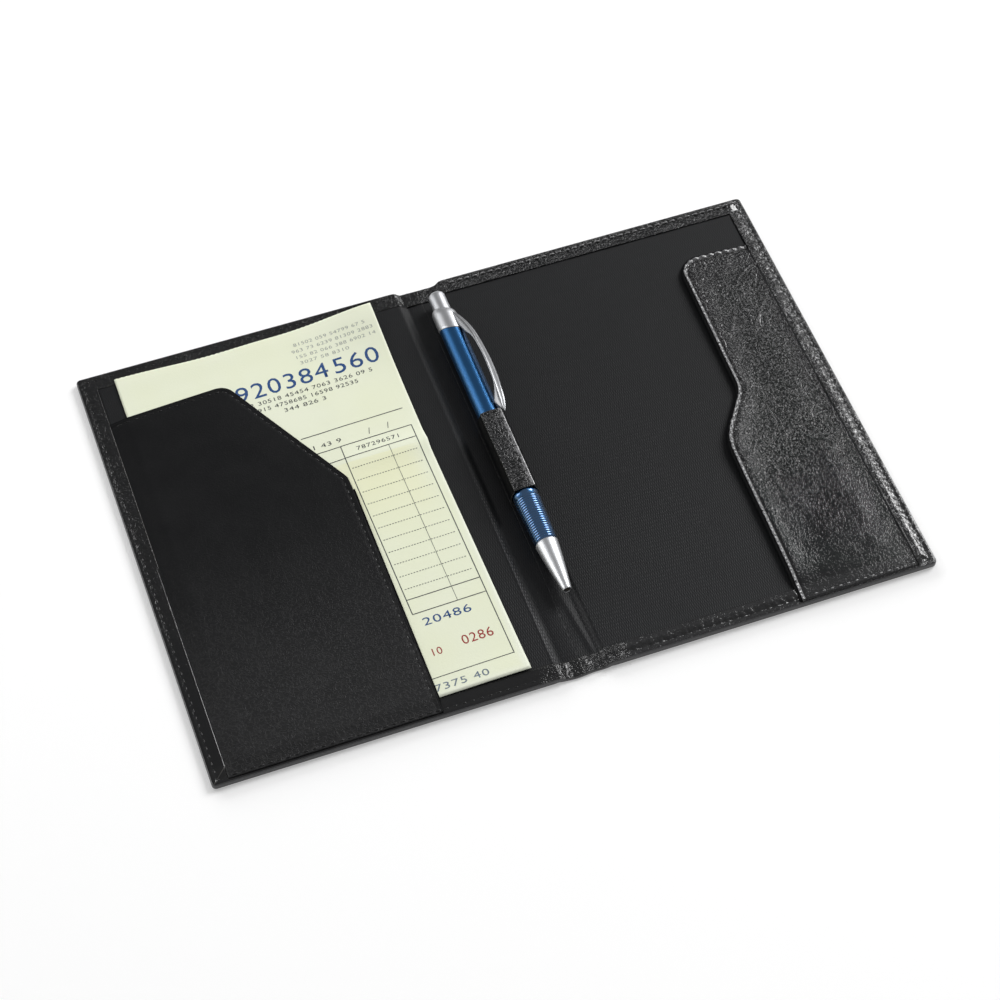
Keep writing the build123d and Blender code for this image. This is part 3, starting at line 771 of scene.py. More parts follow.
class Rim:
    """Stations round a panel's three outer sides, from the spine's middle at the head to the
    spine's middle at the tail, and the rings that run inset from them."""

    def __init__(self, side, step=0.5):
        self.side, self.still = side, 20
        coarse = np.linspace(14, OUTER_X - CORNER_RADIUS, int((OUTER_X - 14) / step))
        self.run_x = np.concatenate([SPINE_RUN, coarse])
        high = HALF_HEIGHT - CORNER_RADIUS
        self.side_y = np.linspace(high, -high, int(2 * high / step))[1:-1]
        self.turn = np.linspace(0, TURN / 4, 9)
        n, m, k = len(self.run_x), len(self.side_y), len(self.turn)
        self.slices = np.cumsum([0, n, k, m, k, n])

    def ring(self, inset):
        """X and Y of the ring: the outline moved inwards, its corners round while the inset is
        below their radius and mitred after that; end runs follow the spine's set-back, and
        keep their X up to where the ring is still."""
        inset = np.broadcast_to(np.asarray(inset, float), (self.slices[-1],))
        parts = [inset[a:b] for a, b in zip(self.slices[:-1], self.slices[1:])]
        reach = [np.maximum(p, CORNER_RADIUS) for p in parts]
        still = self.still
        stretch = (self.run_x - still) / (OUTER_X - CORNER_RADIUS - still)
        pieces = []
        for part, sign in ((0, 1), (4, -1)):
            out, near = stretch[::sign], self.run_x[::sign]
            x = np.where(near > still, still + out * (OUTER_X - reach[part] - still), near)
            y = HALF_HEIGHT - parts[part] - end_shift(self.side * x, sign > 0)
            pieces.append(np.stack([x, sign * y], 1))
        for part, start, sign in ((1, TURN / 4, 1), (3, 0, -1)):
            angle = start - self.turn
            radius = np.maximum(CORNER_RADIUS - parts[part], 0)
            x = OUTER_X - reach[part] + radius * np.cos(angle)
            y = sign * (HALF_HEIGHT - reach[part]) + radius * np.sin(angle)
            pieces.append(np.stack([x, y], 1))
        scale = (HALF_HEIGHT - reach[2]) / (HALF_HEIGHT - CORNER_RADIUS)
        pieces.append(np.stack([OUTER_X - parts[2], self.side_y * scale], 1))
        head, tail, first, second, sides = pieces
        return np.concatenate([head, first, sides, second, tail]) * (self.side, 1)


def cover_surface(side):
    """Outer skin of one half: carried round the rim, a section that comes in along the table,
    turns up over the edge in two quarter arcs and runs in over the board to its cut edge.

    Finishes: 0 leather, 1 the left half's cut edge, 2 the edge that wraps the boards, painted
    with the floor's reflection, 3 the right half's turned-in side.
    """
    rim = Rim(side)
    run = along_path(rim.ring(0))
    settled = run.copy()
    for a, b in zip(rim.slices[[1, 3]], rim.slices[[2, 4]]):
        settled[a:b] = run[a:b].mean()
    level = hem_level(rim.ring(0)[:, 0])
    radius = np.minimum(0.5, 0.35 * level)
    round_off, rest = 0.45, 0.12
    section = [("low", inset) for inset in (10.0, 5.0, 2.5)]
    section += [("under", a) for a in np.linspace(0, TURN / 4, 5)]
    section += [("over", a) for a in np.linspace(0.12, TURN / 4, 7)]
    section += [("top", inset) for inset in np.arange(1.0, HEM_WIDTH - 0.5, 0.36)]
    section += [("edge", share) for share in (0.0, 0.35, 0.7, 0.9, 1.0)]
    section += [("drop", share) for share in (0.35, 1.0)]
    rows = []
    for kind, value in section:
        insets = {
            "low": value, "top": value, "drop": HEM_WIDTH,
            "under": radius * (1 - math.sin(value)), "over": radius * (1 - math.cos(value)),
            "edge": HEM_WIDTH - round_off + round_off * value,
        }
        inset = insets[kind] + np.zeros(len(run))
        x, y = rim.ring(inset).T
        top = hem_height(x, y, inset, np.where(inset < CORNER_RADIUS, run, settled))
        heights = {
            "low": underside(x), "under": underside(x) + radius * (1 - math.cos(value)),
            "over": top - radius * (1 - math.sin(value)), "top": top,
            "edge": top - rest * (1 - math.sqrt(max(1 - value**2, 0))),
            "drop": top - rest - (top - rest - level + 0.5) * value,
        }
        rows.append(np.stack([x, y, heights[kind]], 1))
    surface = Surface()
    grid = np.stack(rows)
    wrap_from, face_from, face_to = 4, 13, -4
    surface.grid(grid[: wrap_from + 1], flip=side > 0)
    surface.grid(grid[wrap_from : face_from + 1], flip=side > 0, finish=2)
    top = grid[face_from:face_to]
    surface.grid(top, flip=side > 0)
    middle = (top[1:, 1:, 0] + top[:-1, :-1, 0]) / 2
    surface.finishes[-middle.size :] = np.where(middle > HEM_X + 0.1, 3, 0).ravel().tolist()
    surface.grid(grid[face_to - 1 :], flip=side > 0, finish=1 if side < 0 else 0)
    spine = len(SPINE_RUN) + 1
    inner = grid[0]
    x, y = np.meshgrid(inner[:spine, 0], np.linspace(inner[0, 1], inner[-1, 1], 41))
    strip = np.stack([x, y, underside(x)], -1)
    strip[0], strip[-1] = inner[:spine], inner[-spine:][::-1]
    surface.grid(strip, flip=side < 0)
    loop = np.concatenate([inner[spine - 1 : len(inner) - spine + 1], strip[1:-1, -1][::-1]])
    surface.add(loop, [range(len(loop))[::side]])
    return surface


def lining_height(x, y):
    """The lining lies on the boards, drops into each crease and swells over the spine.

    The left drop is steeper towards the tail; beside the right one a soft fold runs slantwise.
    """
    out = np.abs(x)
    panel = LINING_TOP + 0.04 * unevenness(x, y, 22.0, 11)
    spine = SPINE_TOP + 0.05 + 0.28 * bell(x, -1.0, 4.2)
    floor = spine - 0.14 * bell(out, CREASE_X - 3.2, 1.0)
    steep = ease(-10, -35, y)
    fold_left = 0.12 * bell(x, -9.2, 0.45) * steep
    left = (1 - steep) * ease(5.2, 9.3, out) + steep * ease(6.9, 9.3, out)
    share = np.where(x < 0, left, ease(6.6, 9.2, out))
    panel = panel + 0.16 * ease(HEM_Y - 4, HEM_Y, np.abs(y))
    ridge_x = 3.0 + 3.0 * np.clip((-58 - y) / 26, 0, 1.1)
    fold = 0.42 * bell(x, ridge_x, 1.3) * ease(-50, -66, y)
    rough = 0.05 * unevenness(x, y, 3.0, 17) * (1 - share)
    return floor + (panel - floor) * share + (fold + rough) * (1 - share) + fold_left


def lining_surface(side):
    """Lining of one half, from the spine's middle to under the turned-in edges."""
    columns = np.concatenate([SPINE_RUN, np.linspace(14, HEM_X + 0.7, 70)])
    x, y = np.meshgrid(columns * side, np.linspace(HEM_Y + 0.6, -HEM_Y - 0.6, 150))
    shift = np.where(y > 0, end_shift(x, True), -end_shift(x, False))
    y = y - shift * ease(60, HEM_Y, np.abs(y))
    surface = Surface()
    surface.grid(np.stack([x, y, lining_height(x, y)], -1), flip=side > 0)
    return surface


# ---- pockets ----

CHECK_MOUTH = rounded_path(
    (6.5, 5.0),
    (CHECK_LOW[0], 66.4),
    (CHECK_LOW[0] + 44.5, 68.7),
    (CHECK_HIGH[0] - 0.6, 14.2),
    (CHECK_HIGH[0], CHECK_LOW[1]),
)
CARD_MOUTH = rounded_path(
    (8.0, 13.0, 23.0),
    (CARD_HIGH[0], CARD_HIGH[1]),
    (CARD_HIGH[0] - 28.9, CARD_HIGH[1]),
    (CARD_HIGH[0] - 30.5, 92.6 - HALF_HEIGHT),
    (CARD_HIGH[0] - 43.5, 73.8 - HALF_HEIGHT),
    (CARD_LOW[0], CARD_LOW[1]),
)


def spread(count, first=1.0, last=1.0):
    """Shares from 0 to 1; a power above 1 draws them closer together at that end."""
    return 1 - (1 - np.linspace(0, 1, count) ** first) ** last


def wrinkles(x, y, *creases):
    """Soft ridges along paths, fading at their ends: each a height, a width and its points."""
    total = 0.0
    for height, width, points in creases:
        path = np.array(points, float)
        ends = np.minimum(*(np.hypot(x - a, y - b) for a, b in path[[0, -1]]))
        total = total + height * bell(distance_to(path, x, y), 0, width) * ease(0, 4, ends)
    return total


def rolled_edge(inset, radius):
    """How far the face falls near a free edge: a quarter round of that radius."""
    near = np.clip(inset / radius, 0, 1)
    return radius * (1 - np.sqrt(np.maximum(1 - (1 - near) ** 2, 0)))


def tucked_level(y, below):
    """Level of a pocket's side under the hem, a little higher at the tail."""
    return HEM_TOP - below + 0.3 * (1 - ease(-86, -80, y))


def sewn_foot(z, y, low, seam):
    """A pocket's foot: a ridge and a sewn groove along its rounded edge."""
    rim = y - low
    z = z + 0.1 * bell(rim, 0.7, 0.6) * seam - 0.2 * bell(rim, 1.0, 0.45)
    return z - rolled_edge(rim, 0.4)


def check_pocket_height(x, y):
    """Face of the wide pocket: it comes up from under the side hem, is sewn down over the tail
    hem, lies on the paper between them, and its free edge is folded under and rounded."""
    mouth, run = nearest(CHECK_MOUTH, x, y)
    beads = stitch_beads(run)
    foot = ease(CHECK_LOW[1] + 1.8, -HEM_Y + 1.0, y)
    seam = ease(CHECK_LOW[0] - 0.6, SLIP_LOW[0] + 0.4, x)
    tucked = tucked_level(y, 0.15)
    base = tucked + (2.76 + 0.68 * foot - tucked) * seam
    slow = 0.09 * unevenness(x, y, 24.0, 21) + 0.03 * unevenness(x, y, 6.0, 23)
    z = base + slow * seam * foot
    z = z + 0.12 * bell(mouth, 0.9, 0.8) - (0.15 + 0.06 * beads) * bell(mouth, 1.95, 0.5)
    return sewn_foot(z - rolled_edge(mouth, 0.5), y, CHECK_LOW[1], seam)


def card_pocket_height(x, y):
    """Face of the narrow pocket: its wavy edge is a stitched ridge that stands off the lining,
    and creases run up from it to the outer seam."""
    mouth, run = nearest(CARD_MOUTH, x, y)
    in_from_seam = CARD_HIGH[0] - x
    seam = ease(-0.1, 0.4, in_from_seam)
    foot = ease(CARD_LOW[1] + 1.8, -HEM_Y + 9, y)
    top = ease(CARD_HIGH[1] + 1, CARD_HIGH[1] - 12, y)
    tucked = tucked_level(y, 0.1)
    lift = 0.6 * bell(mouth, 1.2, 6.0) * foot * (0.35 + 0.65 * top)
    across, apart = ease(0, 34, in_from_seam), ease(0, 13, in_from_seam)
    level = 2.5 + (0.24 * apart + (0.18 * apart + 0.45 * across) * foot) + lift * apart
    base = tucked + (level - tucked) * seam + 0.55 * bell(x, 84, 10) * bell(y, -20, 13) * foot
    slow = 0.16 * unevenness(x, y, 17.0, 31) + 0.06 * unevenness(x, y, 5.0, 33)
    lines = wrinkles(
        x, y,
        (0.62, 0.55, [(112.5, 48.8), (117.5, 53.2), (121.6, 56.0), (126.5, 57.4)]),
        (-0.42, 0.5, [(113.5, 48.3), (118.4, 52.5), (122.2, 55.0), (126.5, 56.2)]),
        (0.08, 0.7, [(109, 22), (114.9, 32.0), (118.8, 36.7), (125.4, 45.4)]),
        (0.1, 0.8, [(102, 27), (104.3, 31.0), (107.8, 37.0), (110.4, 43)]),
        (0.1, 0.7, [(92, -52), (92.6, -44), (91.5, -36)]),
        (0.1, 0.8, [(99, -30), (104, -20), (113, -12)]),
    )
    z = base + (slow + lines) * seam * (0.3 + 0.7 * foot)
    z = z + (0.34 + 0.26 * stitch_beads(run)) * bell(mouth, 0.8, 0.55) - 0.24 * bell(mouth, 1.95, 0.5)
    return sewn_foot(z - rolled_edge(mouth, 0.5), y, CARD_LOW[1], seam)


def pocket_surface(near, far, shares, height, mouth, flip):
    """Sheet ruled between a near and a far line, raised to its height at each point. Its folded
    edge has finishes of its own: 1 on the crest, with a painted highlight, and 2 on the outer
    side, with a painted shade."""
    grid = near[:, None, :] + (far - near)[:, None, :] * shares[None, :, None]
    x, y = grid[..., 0], grid[..., 1]
    surface = Surface()
    surface.grid(np.stack([x, y, height(x, y)], -1), flip=flip)
    x, y = np.moveaxis(grid[1:, 1:] + grid[:-1, :-1], -1, 0) / 2
    inset, seam = distance_to(mouth, x, y), np.abs(x - CARD_HIGH[0])
    outer_to, crest_to, seam_to = 0.7, 1.5, 0.55
    outer = (inset < outer_to) | (seam < seam_to)
    surface.finishes = np.select([outer, inset < crest_to], [2, 1], 0).ravel().tolist()
    return surface


# ---- stitches ----


def sew(name, body, rows, length, thickness, *thread):
    """Many stitches as one piece: each a short thread, round across and arched along.

    A row is its path in the plane, a height function and the share of a pitch where it starts.
    The length is a share of the pitch and the thickness one of the settings' width.
    """
    cover = settings("cover")
    pitch, width = cover.stitch_pitch / MM, thickness * cover.stitch_width / MM
    length = length * pitch
    across = np.linspace(0, TURN, 6, endpoint=False)
    along = np.linspace(-1, 1, 7)[:, None]
    girth = np.sqrt(1 - 0.92 * along**4) * width / 2
    up = (0.55 * (1 - along**2) - 0.25) * width + girth * np.sin(across)
    ahead, out = along * length / 2, (girth * np.cos(across))[..., None]
    share = (along + 1) / 2
    surface = Surface()
    rng = np.random.default_rng(7)
    for path, height, start in rows:
        run = along_path(path)
        count = int((run[-1] - start * pitch) / pitch)
        at = (start + np.arange(count) + 0.5) * pitch
        middle = resample(path, at)
        tangent = resample(path, np.minimum(at + 0.3, run[-1])) - middle
        tangent /= np.linalg.norm(tangent, axis=1)[:, None]
        slew = rng.normal(0, 0.05, count)[:, None]
        tangent = tangent + slew * to_left(tangent)
        middle = middle + rng.normal(0, 0.04, (count, 2))
        normal = to_left(tangent)
        low, high = (height(*(middle + end * length * tangent).T) for end in (-0.4, 0.4))
        for i in range(count):
            plan = middle[i] + tangent[i] * ahead[..., None] + normal[i] * out
            z = low[i] * (1 - share) + high[i] * share + up
            surface.grid(np.concatenate([plan, z[..., None]], -1), closed=True, capped=True)
    piece = surface.build(name, [thread_finish(*thread)], weld=0.0001)
    settle(piece, body, "leatherette")


# ======================= settings =======================


def colour_setting(name, text, *default):
    return FloatVectorProperty(
        name=name, description=text, subtype="COLOR", default=default, min=0, max=1
    )


def length_setting(name, text, default, low, high, precision=5):
    return FloatProperty(
        name=name, description=text, unit="LENGTH", default=default, min=low, max=high,
        precision=precision,
    )


def power_setting(name, text, default):
    return FloatProperty(
        name=name, description=text, unit="POWER", default=default, min=0, max=1000
    )


class CoverSettings(PropertyGroup):
    leather: colour_setting("Leather", "Colour of the leatherette", 0.0026, 0.0028, 0.0034)
    # Painted light: besides the grain's rubbed ridges, this colour paints the ridges' highlight, the
    # rims' reflection of the floor, the crests' and creases' highlights and the check pocket's sheen
    # at the tail.
    rubbed: colour_setting("Rubbed Grain", "Colour of the ridges of the grain", 0.026, 0.026, 0.027)
    lining: colour_setting("Lining", "Colour of the lining cloth", 0.0078, 0.0083, 0.0095)
    # Painted highlight: the stitches' pale grey stands in for the light their thread catches.
    thread: colour_setting("Thread", "Colour of the stitches", 0.26, 0.26, 0.265)
    # Partly a painted highlight of the cut edges.
    cut_edge: colour_setting(
        "Cut Edge", "Colour of the backing where the leatherette is cut", 0.085, 0.083, 0.075
    )
    grain: length_setting("Grain", "Distance between the grain's pebbles", 0.0007, 0.0003, 0.003)
    grain_depth: length_setting("Grain Depth", "Height of the grain's pebbles", 0.0002, 0, 0.001)
    weave: length_setting("Weave", "Distance between the lining's threads", 0.0008, 0.0002, 0.002)
    stitch_pitch: length_setting(
        "Stitch Pitch", "Distance from one stitch to the next", 0.0031, 0.001, 0.01, 4
    )
    stitch_inset: length_setting(
        "Stitch Inset", "From the panel's edge to its stitches", 0.0023, 0.001, 0.006, 4
    )
    stitch_width: length_setting("Stitch Width", "Thickness of the thread", 0.0007, 0.0001, 0.002)


class PaperSettings(PropertyGroup):
    face: colour_setting("Paper", "Colour of the check's paper", 0.77, 0.80, 0.61)
    tint: colour_setting("Tint", "Colour of the yellower patch", 0.79, 0.79, 0.5)
    worn: colour_setting("Worn Edge", "Colour of the rubbed edges", 0.80, 0.83, 0.72)
    curl: length_setting("Curl", "How far the free top corner lifts", 0.0022, 0, 0.01, 4)


class PenSettings(PropertyGroup):
    blue: colour_setting("Blue", "Colour of the lacquered barrel", 0.012, 0.110, 0.29)
    silver: colour_setting("Silver", "Colour of the plated parts", 0.62, 0.63, 0.65)


class StageSettings(PropertyGroup):
    floor: colour_setting("Floor", "Colour of the table", 0.96, 0.96, 0.96)
    lens: FloatProperty(
        name="Lens", description="Focal length on a 36 mm frame", unit="CAMERA",
        default=94.8, min=10, max=300,
    )
    key: power_setting("Key Light", "Power of the soft light at the right", 88.0)
    side: power_setting("Side Light", "Power of the low light at the back left", 44.0)
    back: power_setting("Back Light", "Power of the light that draws the shadow at the tail", 100.0)
    ambient: FloatProperty(
        name="Ambient", description="Brightness of the light all round", default=0.31, min=0, max=2,
    )


# ======================= operators =======================


class PRESENTER_OT_stage(Operator):
    """Camera, soft lights and a plain pale floor"""

    bl_idname = "presenter.stage"
    bl_label = "Stage"

    def execute(self, context):
        stage, scene = settings("stage"), context.scene
        self.camera(scene, stage)
        half_floor, below = 2500.0, -0.02
        x, y = np.meshgrid([-half_floor, half_floor], [-half_floor, half_floor])
        floor = Surface()
        floor.grid(np.stack([x, y, np.full_like(x, below)], -1))
        floor.build("floor", [self.floor_material(stage)])
        self.light("key light", (2.37, 1.1, 1.85), (1.55, 1.55), stage.key)
        side = self.light("side light", (-2.75, 1.0, 1.3), (1.7, 2.1), stage.side)
        side.visible_diffuse = False
        back = self.light("back light", (-0.7, 3.0, 1.05), (4.0, 1.5), stage.back)
        back.visible_glossy = False
        self.world(scene, stage)
        scene.view_settings.view_transform = "Standard"
        return {"FINISHED"}

    def camera(self, scene, stage):
        """Looks down at the target from that side, height and distance."""
        azimuth, elevation, distance = math.radians(-19.79), math.radians(54.98), 0.9401
        target = Vector((-0.00271, -0.01152, 0.0))
        level = math.cos(elevation)
        back = Vector((math.sin(azimuth) * level, -math.cos(azimuth) * level, math.sin(elevation)))
        camera = bpy.data.objects.new("camera", bpy.data.cameras.new("camera"))
        camera.data.lens = stage.lens
        camera.data.sensor_width = 36.0
        camera.data.clip_start, camera.data.clip_end = 0.05, 20.0
        camera.location = target + back * distance
        camera.rotation_euler = (-back).to_track_quat("-Z", "Y").to_euler()
        scene.collection.objects.link(camera)
        scene.camera = camera

    def light(self, name, place, size, power):
        """A soft light of that width and height that looks at the object."""
        data = bpy.data.lights.new(name, "AREA")
        data.shape = "RECTANGLE"
        (data.size, data.size_y), data.energy = size, power
        lamp = bpy.data.objects.new(name, data)
        lamp.location = place
        lamp.rotation_euler = (-Vector(place)).to_track_quat("-Z", "Y").to_euler()
        bpy.context.scene.collection.objects.link(lamp)
        return lamp

    def floor_material(self, stage):
        """Matt white; what the camera and reflections see of it is lifted towards white."""
        f = Finish("floor", Specular_IOR_Level=0.0, Roughness=1.0)
        f.shader.inputs["Base Color"].default_value = (*stage.floor, 1.0)
        glow = f.node("ShaderNodeEmission", {}, {"Color": (1, 1, 1, 1), "Strength": 1.3})
        body = Term(f, f.shader.outputs[0])
        mixed = f.node("ShaderNodeMixShader", {}, {0: self.seen(f) * 0.2, 1: body, 2: glow})
        f.tree.links.new(mixed.socket, f.tree.nodes["Material Output"].inputs["Surface"])
        return f.material

    def seen(self, f):
        """1 for rays from the camera, off gloss or through glass, 0 for light on the object."""
        path = f.tree.nodes.new("ShaderNodeLightPath")
        names = ("Is Camera Ray", "Is Glossy Ray", "Is Transmission Ray")
        camera, gloss, glass = (Term(f, path.outputs[k]) for k in names)
        return f.math("MAXIMUM", f.math("MAXIMUM", camera, gloss), glass)

    def world(self, scene, stage):
        """Even light all round, white only where the camera looks past the floor."""
        world = bpy.data.worlds.new("studio")
        world.use_nodes = True
        scene.world = world
        tree = world.node_tree
        background = tree.nodes["Background"]
        path = tree.nodes.new("ShaderNodeLightPath")
        blend = tree.nodes.new("ShaderNodeMix")
        background.inputs["Color"].default_value = (1, 1, 1, 1)
        blend.inputs[2].default_value = stage.ambient
        blend.inputs[3].default_value = 1.0
        tree.links.new(path.outputs["Is Camera Ray"], blend.inputs[0])
        tree.links.new(blend.outputs[0], background.inputs["Strength"])


class PRESENTER_OT_cover(Operator):
    """Outer leather of both halves, wrapped round the boards and across the spine"""

    bl_idname = "presenter.cover"
    bl_label = "Cover"

    def execute(self, context):
        # The hem's leather: deeper grain with painted glints on its ridges.
        hem = grained_leather("hem leather", 1.3, 0.9, 0.8)
        for side, half, leather in (
            (1, "back", grained_leather()),
            # The front half's grain is flatter and its ridges are painted darker than the back's, a
            # painted shade.
            (-1, "front", grained_leather("rubbed leather", 0.32, 1.1)),
        ):
            finishes = [leather, cut_leather(), rim_leather(), hem]
            piece = cover_surface(side).build(f"{half}_cover", finishes)
            span_crease(piece, side, LEATHER, "leatherette", f"{half}_skin", "spine_skin")
        return {"FINISHED"}


def span_crease(piece, side, thickness, slot, *nodes):
    """A sheet that spans a crease: its place is baked into its points, it is thickened, and its nodes
    are hidden.
    """
    near, far = (CREASE_X - 1.1) * MM, (CREASE_X + 1.4) * MM
    if side > 0:
        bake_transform(piece)
    else:
        -near
        -far
        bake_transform(piece)
    thicken(piece, thickness)
    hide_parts(*nodes)


class PRESENTER_OT_lining(Operator):
    """Lining cloth of both halves"""

    bl_idname = "presenter.lining"
    bl_label = "Lining"

    def execute(self, context):
        for side, half in ((1, "back"), (-1, "front")):
            piece = lining_surface(side).build(f"{half}_lining_cloth", [lining_cloth()])
            span_crease(piece, side, CLOTH, "lining_cloth", f"{half}_lining", "spine_lining")
        return {"FINISHED"}


class PRESENTER_OT_pockets(Operator):
    bl_idname = "presenter.pockets"
    bl_label = "Pockets"

    def execute(self, context):
        finishes = [smooth_leather(), smooth_leather(), edge_leather()]
        wide = self.wide().build("check_pocket_leather", finishes)
        thicken(wide, LEATHER)
        settle(wide, "front_panel", "smooth_leatherette", "check_pocket")
        finishes = [grained_leather(), polished_leather(), edge_leather()]
        narrow = self.narrow().build("card_pocket_leather", finishes)
        thicken(narrow, LEATHER)
        settle(narrow, "back_panel", "leatherette", "card_pocket")
        return {"FINISHED"}

    def wide(self):
        """Ruled from the foot up to the mouth, closer together at the free edges."""
        bend, end = CHECK_LOW[0] + 41, CHECK_HIGH[0] - 3
        columns = joined(
            np.linspace(CHECK_LOW[0] - 0.6, bend, 52),
            np.linspace(bend, end, 60),
            CHECK_HIGH[0] - 3 * (1 - spread(12, last=1.8)),
        )
        upper = CHECK_MOUTH[CHECK_MOUTH[:, 1] > 8.0]
        low = np.stack([columns, np.full_like(columns, CHECK_LOW[1])], 1)
        high = np.stack([columns, np.interp(columns, *upper.T)], 1)
        foot, lip = 0.012, 0.97
        shares = joined(
            foot * spread(6, first=1.6),
            np.linspace(foot, lip, 150),
            lip + (1 - lip) * spread(16, last=1.8),
        )
        return pocket_surface(low, high, shares, check_pocket_height, CHECK_MOUTH, flip=True)

    def narrow(self):
        """Ruled from the outer seam in to the mouth, closer together at the free edges."""
        lines = joined(
            CARD_LOW[1] + 2 * spread(7, first=1.6),
            np.linspace(CARD_LOW[1] + 2, CARD_HIGH[1] - 9, 280),
            CARD_HIGH[1] - 9 * (1 - spread(30, last=1.7)),
        )
        wavy = np.interp(lines, CARD_MOUTH[::-1, 1], CARD_MOUTH[::-1, 0])
        wavy[-1] = CARD_MOUTH[CARD_MOUTH[:, 1] > CARD_HIGH[1] - 1e-3, 0].min()
        far = np.stack([wavy, lines], 1)
        near = np.stack([np.full_like(lines, CARD_HIGH[0]), lines], 1)
        seam, lip = 0.04, 0.92
        shares = joined(
            seam * spread(9, first=1.3),
            np.linspace(seam, lip, 98),
            lip + (1 - lip) * spread(20, last=1.6),
        )
        return pocket_surface(near, far, shares, card_pocket_height, CARD_MOUTH, flip=False)


class PRESENTER_OT_stitching(Operator):
    """Stitches round both panels and along the pockets' mouths"""

    bl_idname = "presenter.stitching"
    bl_label = "Stitching"

    def execute(self, context):
        card = (card_pocket_height, CARD_LOW[0], offset_path(CARD_MOUTH, 1.05), 0.1)
        check = (check_pocket_height, -CHECK_HIGH[0], offset_path(CHECK_MOUTH, -1.95), -0.16)
        self.half(1, "back", *card, 1.1)
        # The front's stitches keep under a tenth of the thread's pale colour, with little of its
        # painted highlight.
        self.half(-1, "front", *check, 0.65, "dull thread", 0.09)
        return {"FINISHED"}

    def half(self, side, name, pocket, pocket_x, mouth, lift, thickness, *thread):
        """One panel's rim and its pocket's mouth; over the pocket's foot the rim's stitches lie
        on the pocket. The lift is how far the mouth's stitches stand above its face."""
        inset = settings("cover").stitch_inset / MM
        ring = Rim(side).ring(inset)

        def level(x, y):
            over = (y < -HEM_Y) & (np.abs(x) > pocket_x) & (np.abs(x) < HEM_X)
            plain = hem_height(x, y, np.full(np.shape(x), inset), np.zeros(np.shape(x)))
            deep = 0.3 * ease(-20, 30, y) - 0.18 - 0.3 * (y < -HEM_Y) if side > 0 else -0.15
            return np.where(over, pocket(x, y), plain + deep)

        keep = (np.abs(mouth[:, 0]) < HEM_X - 1) & (mouth[:, 1] > -HEM_Y)
        rows = [(ring[np.abs(ring[:, 0]) > CREASE_X + 2.5], level, 0.0)]
        rows.append((mouth[keep], lambda x, y: pocket(x, y) + lift, 0.2))
        sew(f"{name}_stitches", f"{name}_panel", rows, 0.72, thickness, *thread)


class PRESENTER_OT_loop(Operator):
    """Leather loop that holds the pen on the spine"""

    bl_idname = "presenter.loop"
    bl_label = "Pen Loop"

    def execute(self, context):
        seam_angle, seam_radius, sunk = math.radians(129.0), 6.02, 0.12
        x = PEN_X + seam_radius * math.cos(seam_angle)
        z = PEN_Z + seam_radius * math.sin(seam_angle) - sunk
        seam = np.array([[x, LOOP_LOW[1] + 0.8], [x, LOOP_HIGH[1] - 0.8]])
        rows = [(seam, lambda a, b: np.full(np.shape(a), z), 0.5)]
        sew("loop_stitches", "spine", rows, 0.7, 1.0, "dull thread", 0.09)
        # Painted highlight: the loop's grain ridges are painted much paler than the cover's.
        finishes = [grained_leather("loop leather", 0.35, 4.8), cut_leather()]
        finishes += [polished_leather(), edge_leather()]
        piece = loop_surface().build("pen_loop_leather", finishes, outward=True)
        settle(piece, "spine", "leatherette", "pen_loop")
        return {"FINISHED"}


def loop_radius(angle, y):
    """Outer radius of the loop at an angle from +X: two ridges with a flatter top between them,
    straight sides, and feet that spread on the spine; it is fuller over the grip's shoulder."""
    degrees = np.degrees(angle) % 360
    knots = [
        0, 30, 46, 53, 60, 76, 94, 112, 123, 130, 138, 160, 180, 210, 238, 255, 270, 290, 305, 330, 360
    ]
    radii = [
        5.4, 5.35, 5.75, 6.25, 5.85, 5.34, 5.18, 5.42, 5.8, 6.15, 5.7, 5.4, 5.5, 5.6, 6.15, 5.62,
        5.5, 5.7, 6.3, 5.65, 5.4,
    ]
    full = 0.22 * ease(-8, -15, y) * bell(degrees, 94, 30)
    u = degrees * 0.12
    wave = 0.07 * unevenness(u, y, 3.0, 41) + 0.05 * unevenness(u, y, 1.4, 43)
    return curve_through(knots, radii, degrees) + full + wave


def loop_surface():
    """Tube carried along the pen: outer face, rounded cut rims, inner face, closed on itself.

    Finishes: 0 the top, 1 the cut rims, 2 the ridge at the right, with a painted highlight, 3 the
    sides and feet, with a painted shade.
    """
    angle = np.linspace(0, TURN, 120, endpoint=False)
    low, high = LOOP_LOW[1], LOOP_HIGH[1]
    rim = ((0.03, 0.1), (0.0, 0.25), (0.03, 0.4))
    rows = [(y, 0.0, False) for y in np.linspace(low + 0.12, high - 0.12, 64)]
    rows += [(high - back, depth, True) for back, depth in rim]
    rows += [(y, 0.5, False) for y in np.linspace(high - 0.12, low + 0.12, 16)]
    rows += [(low + back, depth, True) for back, depth in rim[::-1]]
    grid = []
    for y, depth, cut in rows:
        radius = loop_radius(angle, y) - depth
        radius = np.maximum(radius, 4.9) if depth > 0.45 else radius
        mouth = 0.35 * np.cos(angle - 1.6) * ease(high - 6, high, y)
        z = np.maximum(PEN_Z + radius * np.sin(angle), SPINE_TOP - 0.05)
        grid.append(np.stack([PEN_X + radius * np.cos(angle), y + mouth, z], 1))
    surface = Surface()
    surface.grid(np.stack(grid), closed=True, looped=True)
    degrees = np.degrees(angle + TURN / 2 / len(angle))
    ridge, crown = (degrees > 46) & (degrees < 63), (degrees > 63) & (degrees < 134)
    around = np.select([ridge, crown], [2, 0], 3)
    cuts = np.array([cut for _, _, cut in rows])
    cuts = cuts | np.roll(cuts, -1)
    surface.finishes = np.where(cuts[:, None], 1, around).ravel().tolist()
    return surface


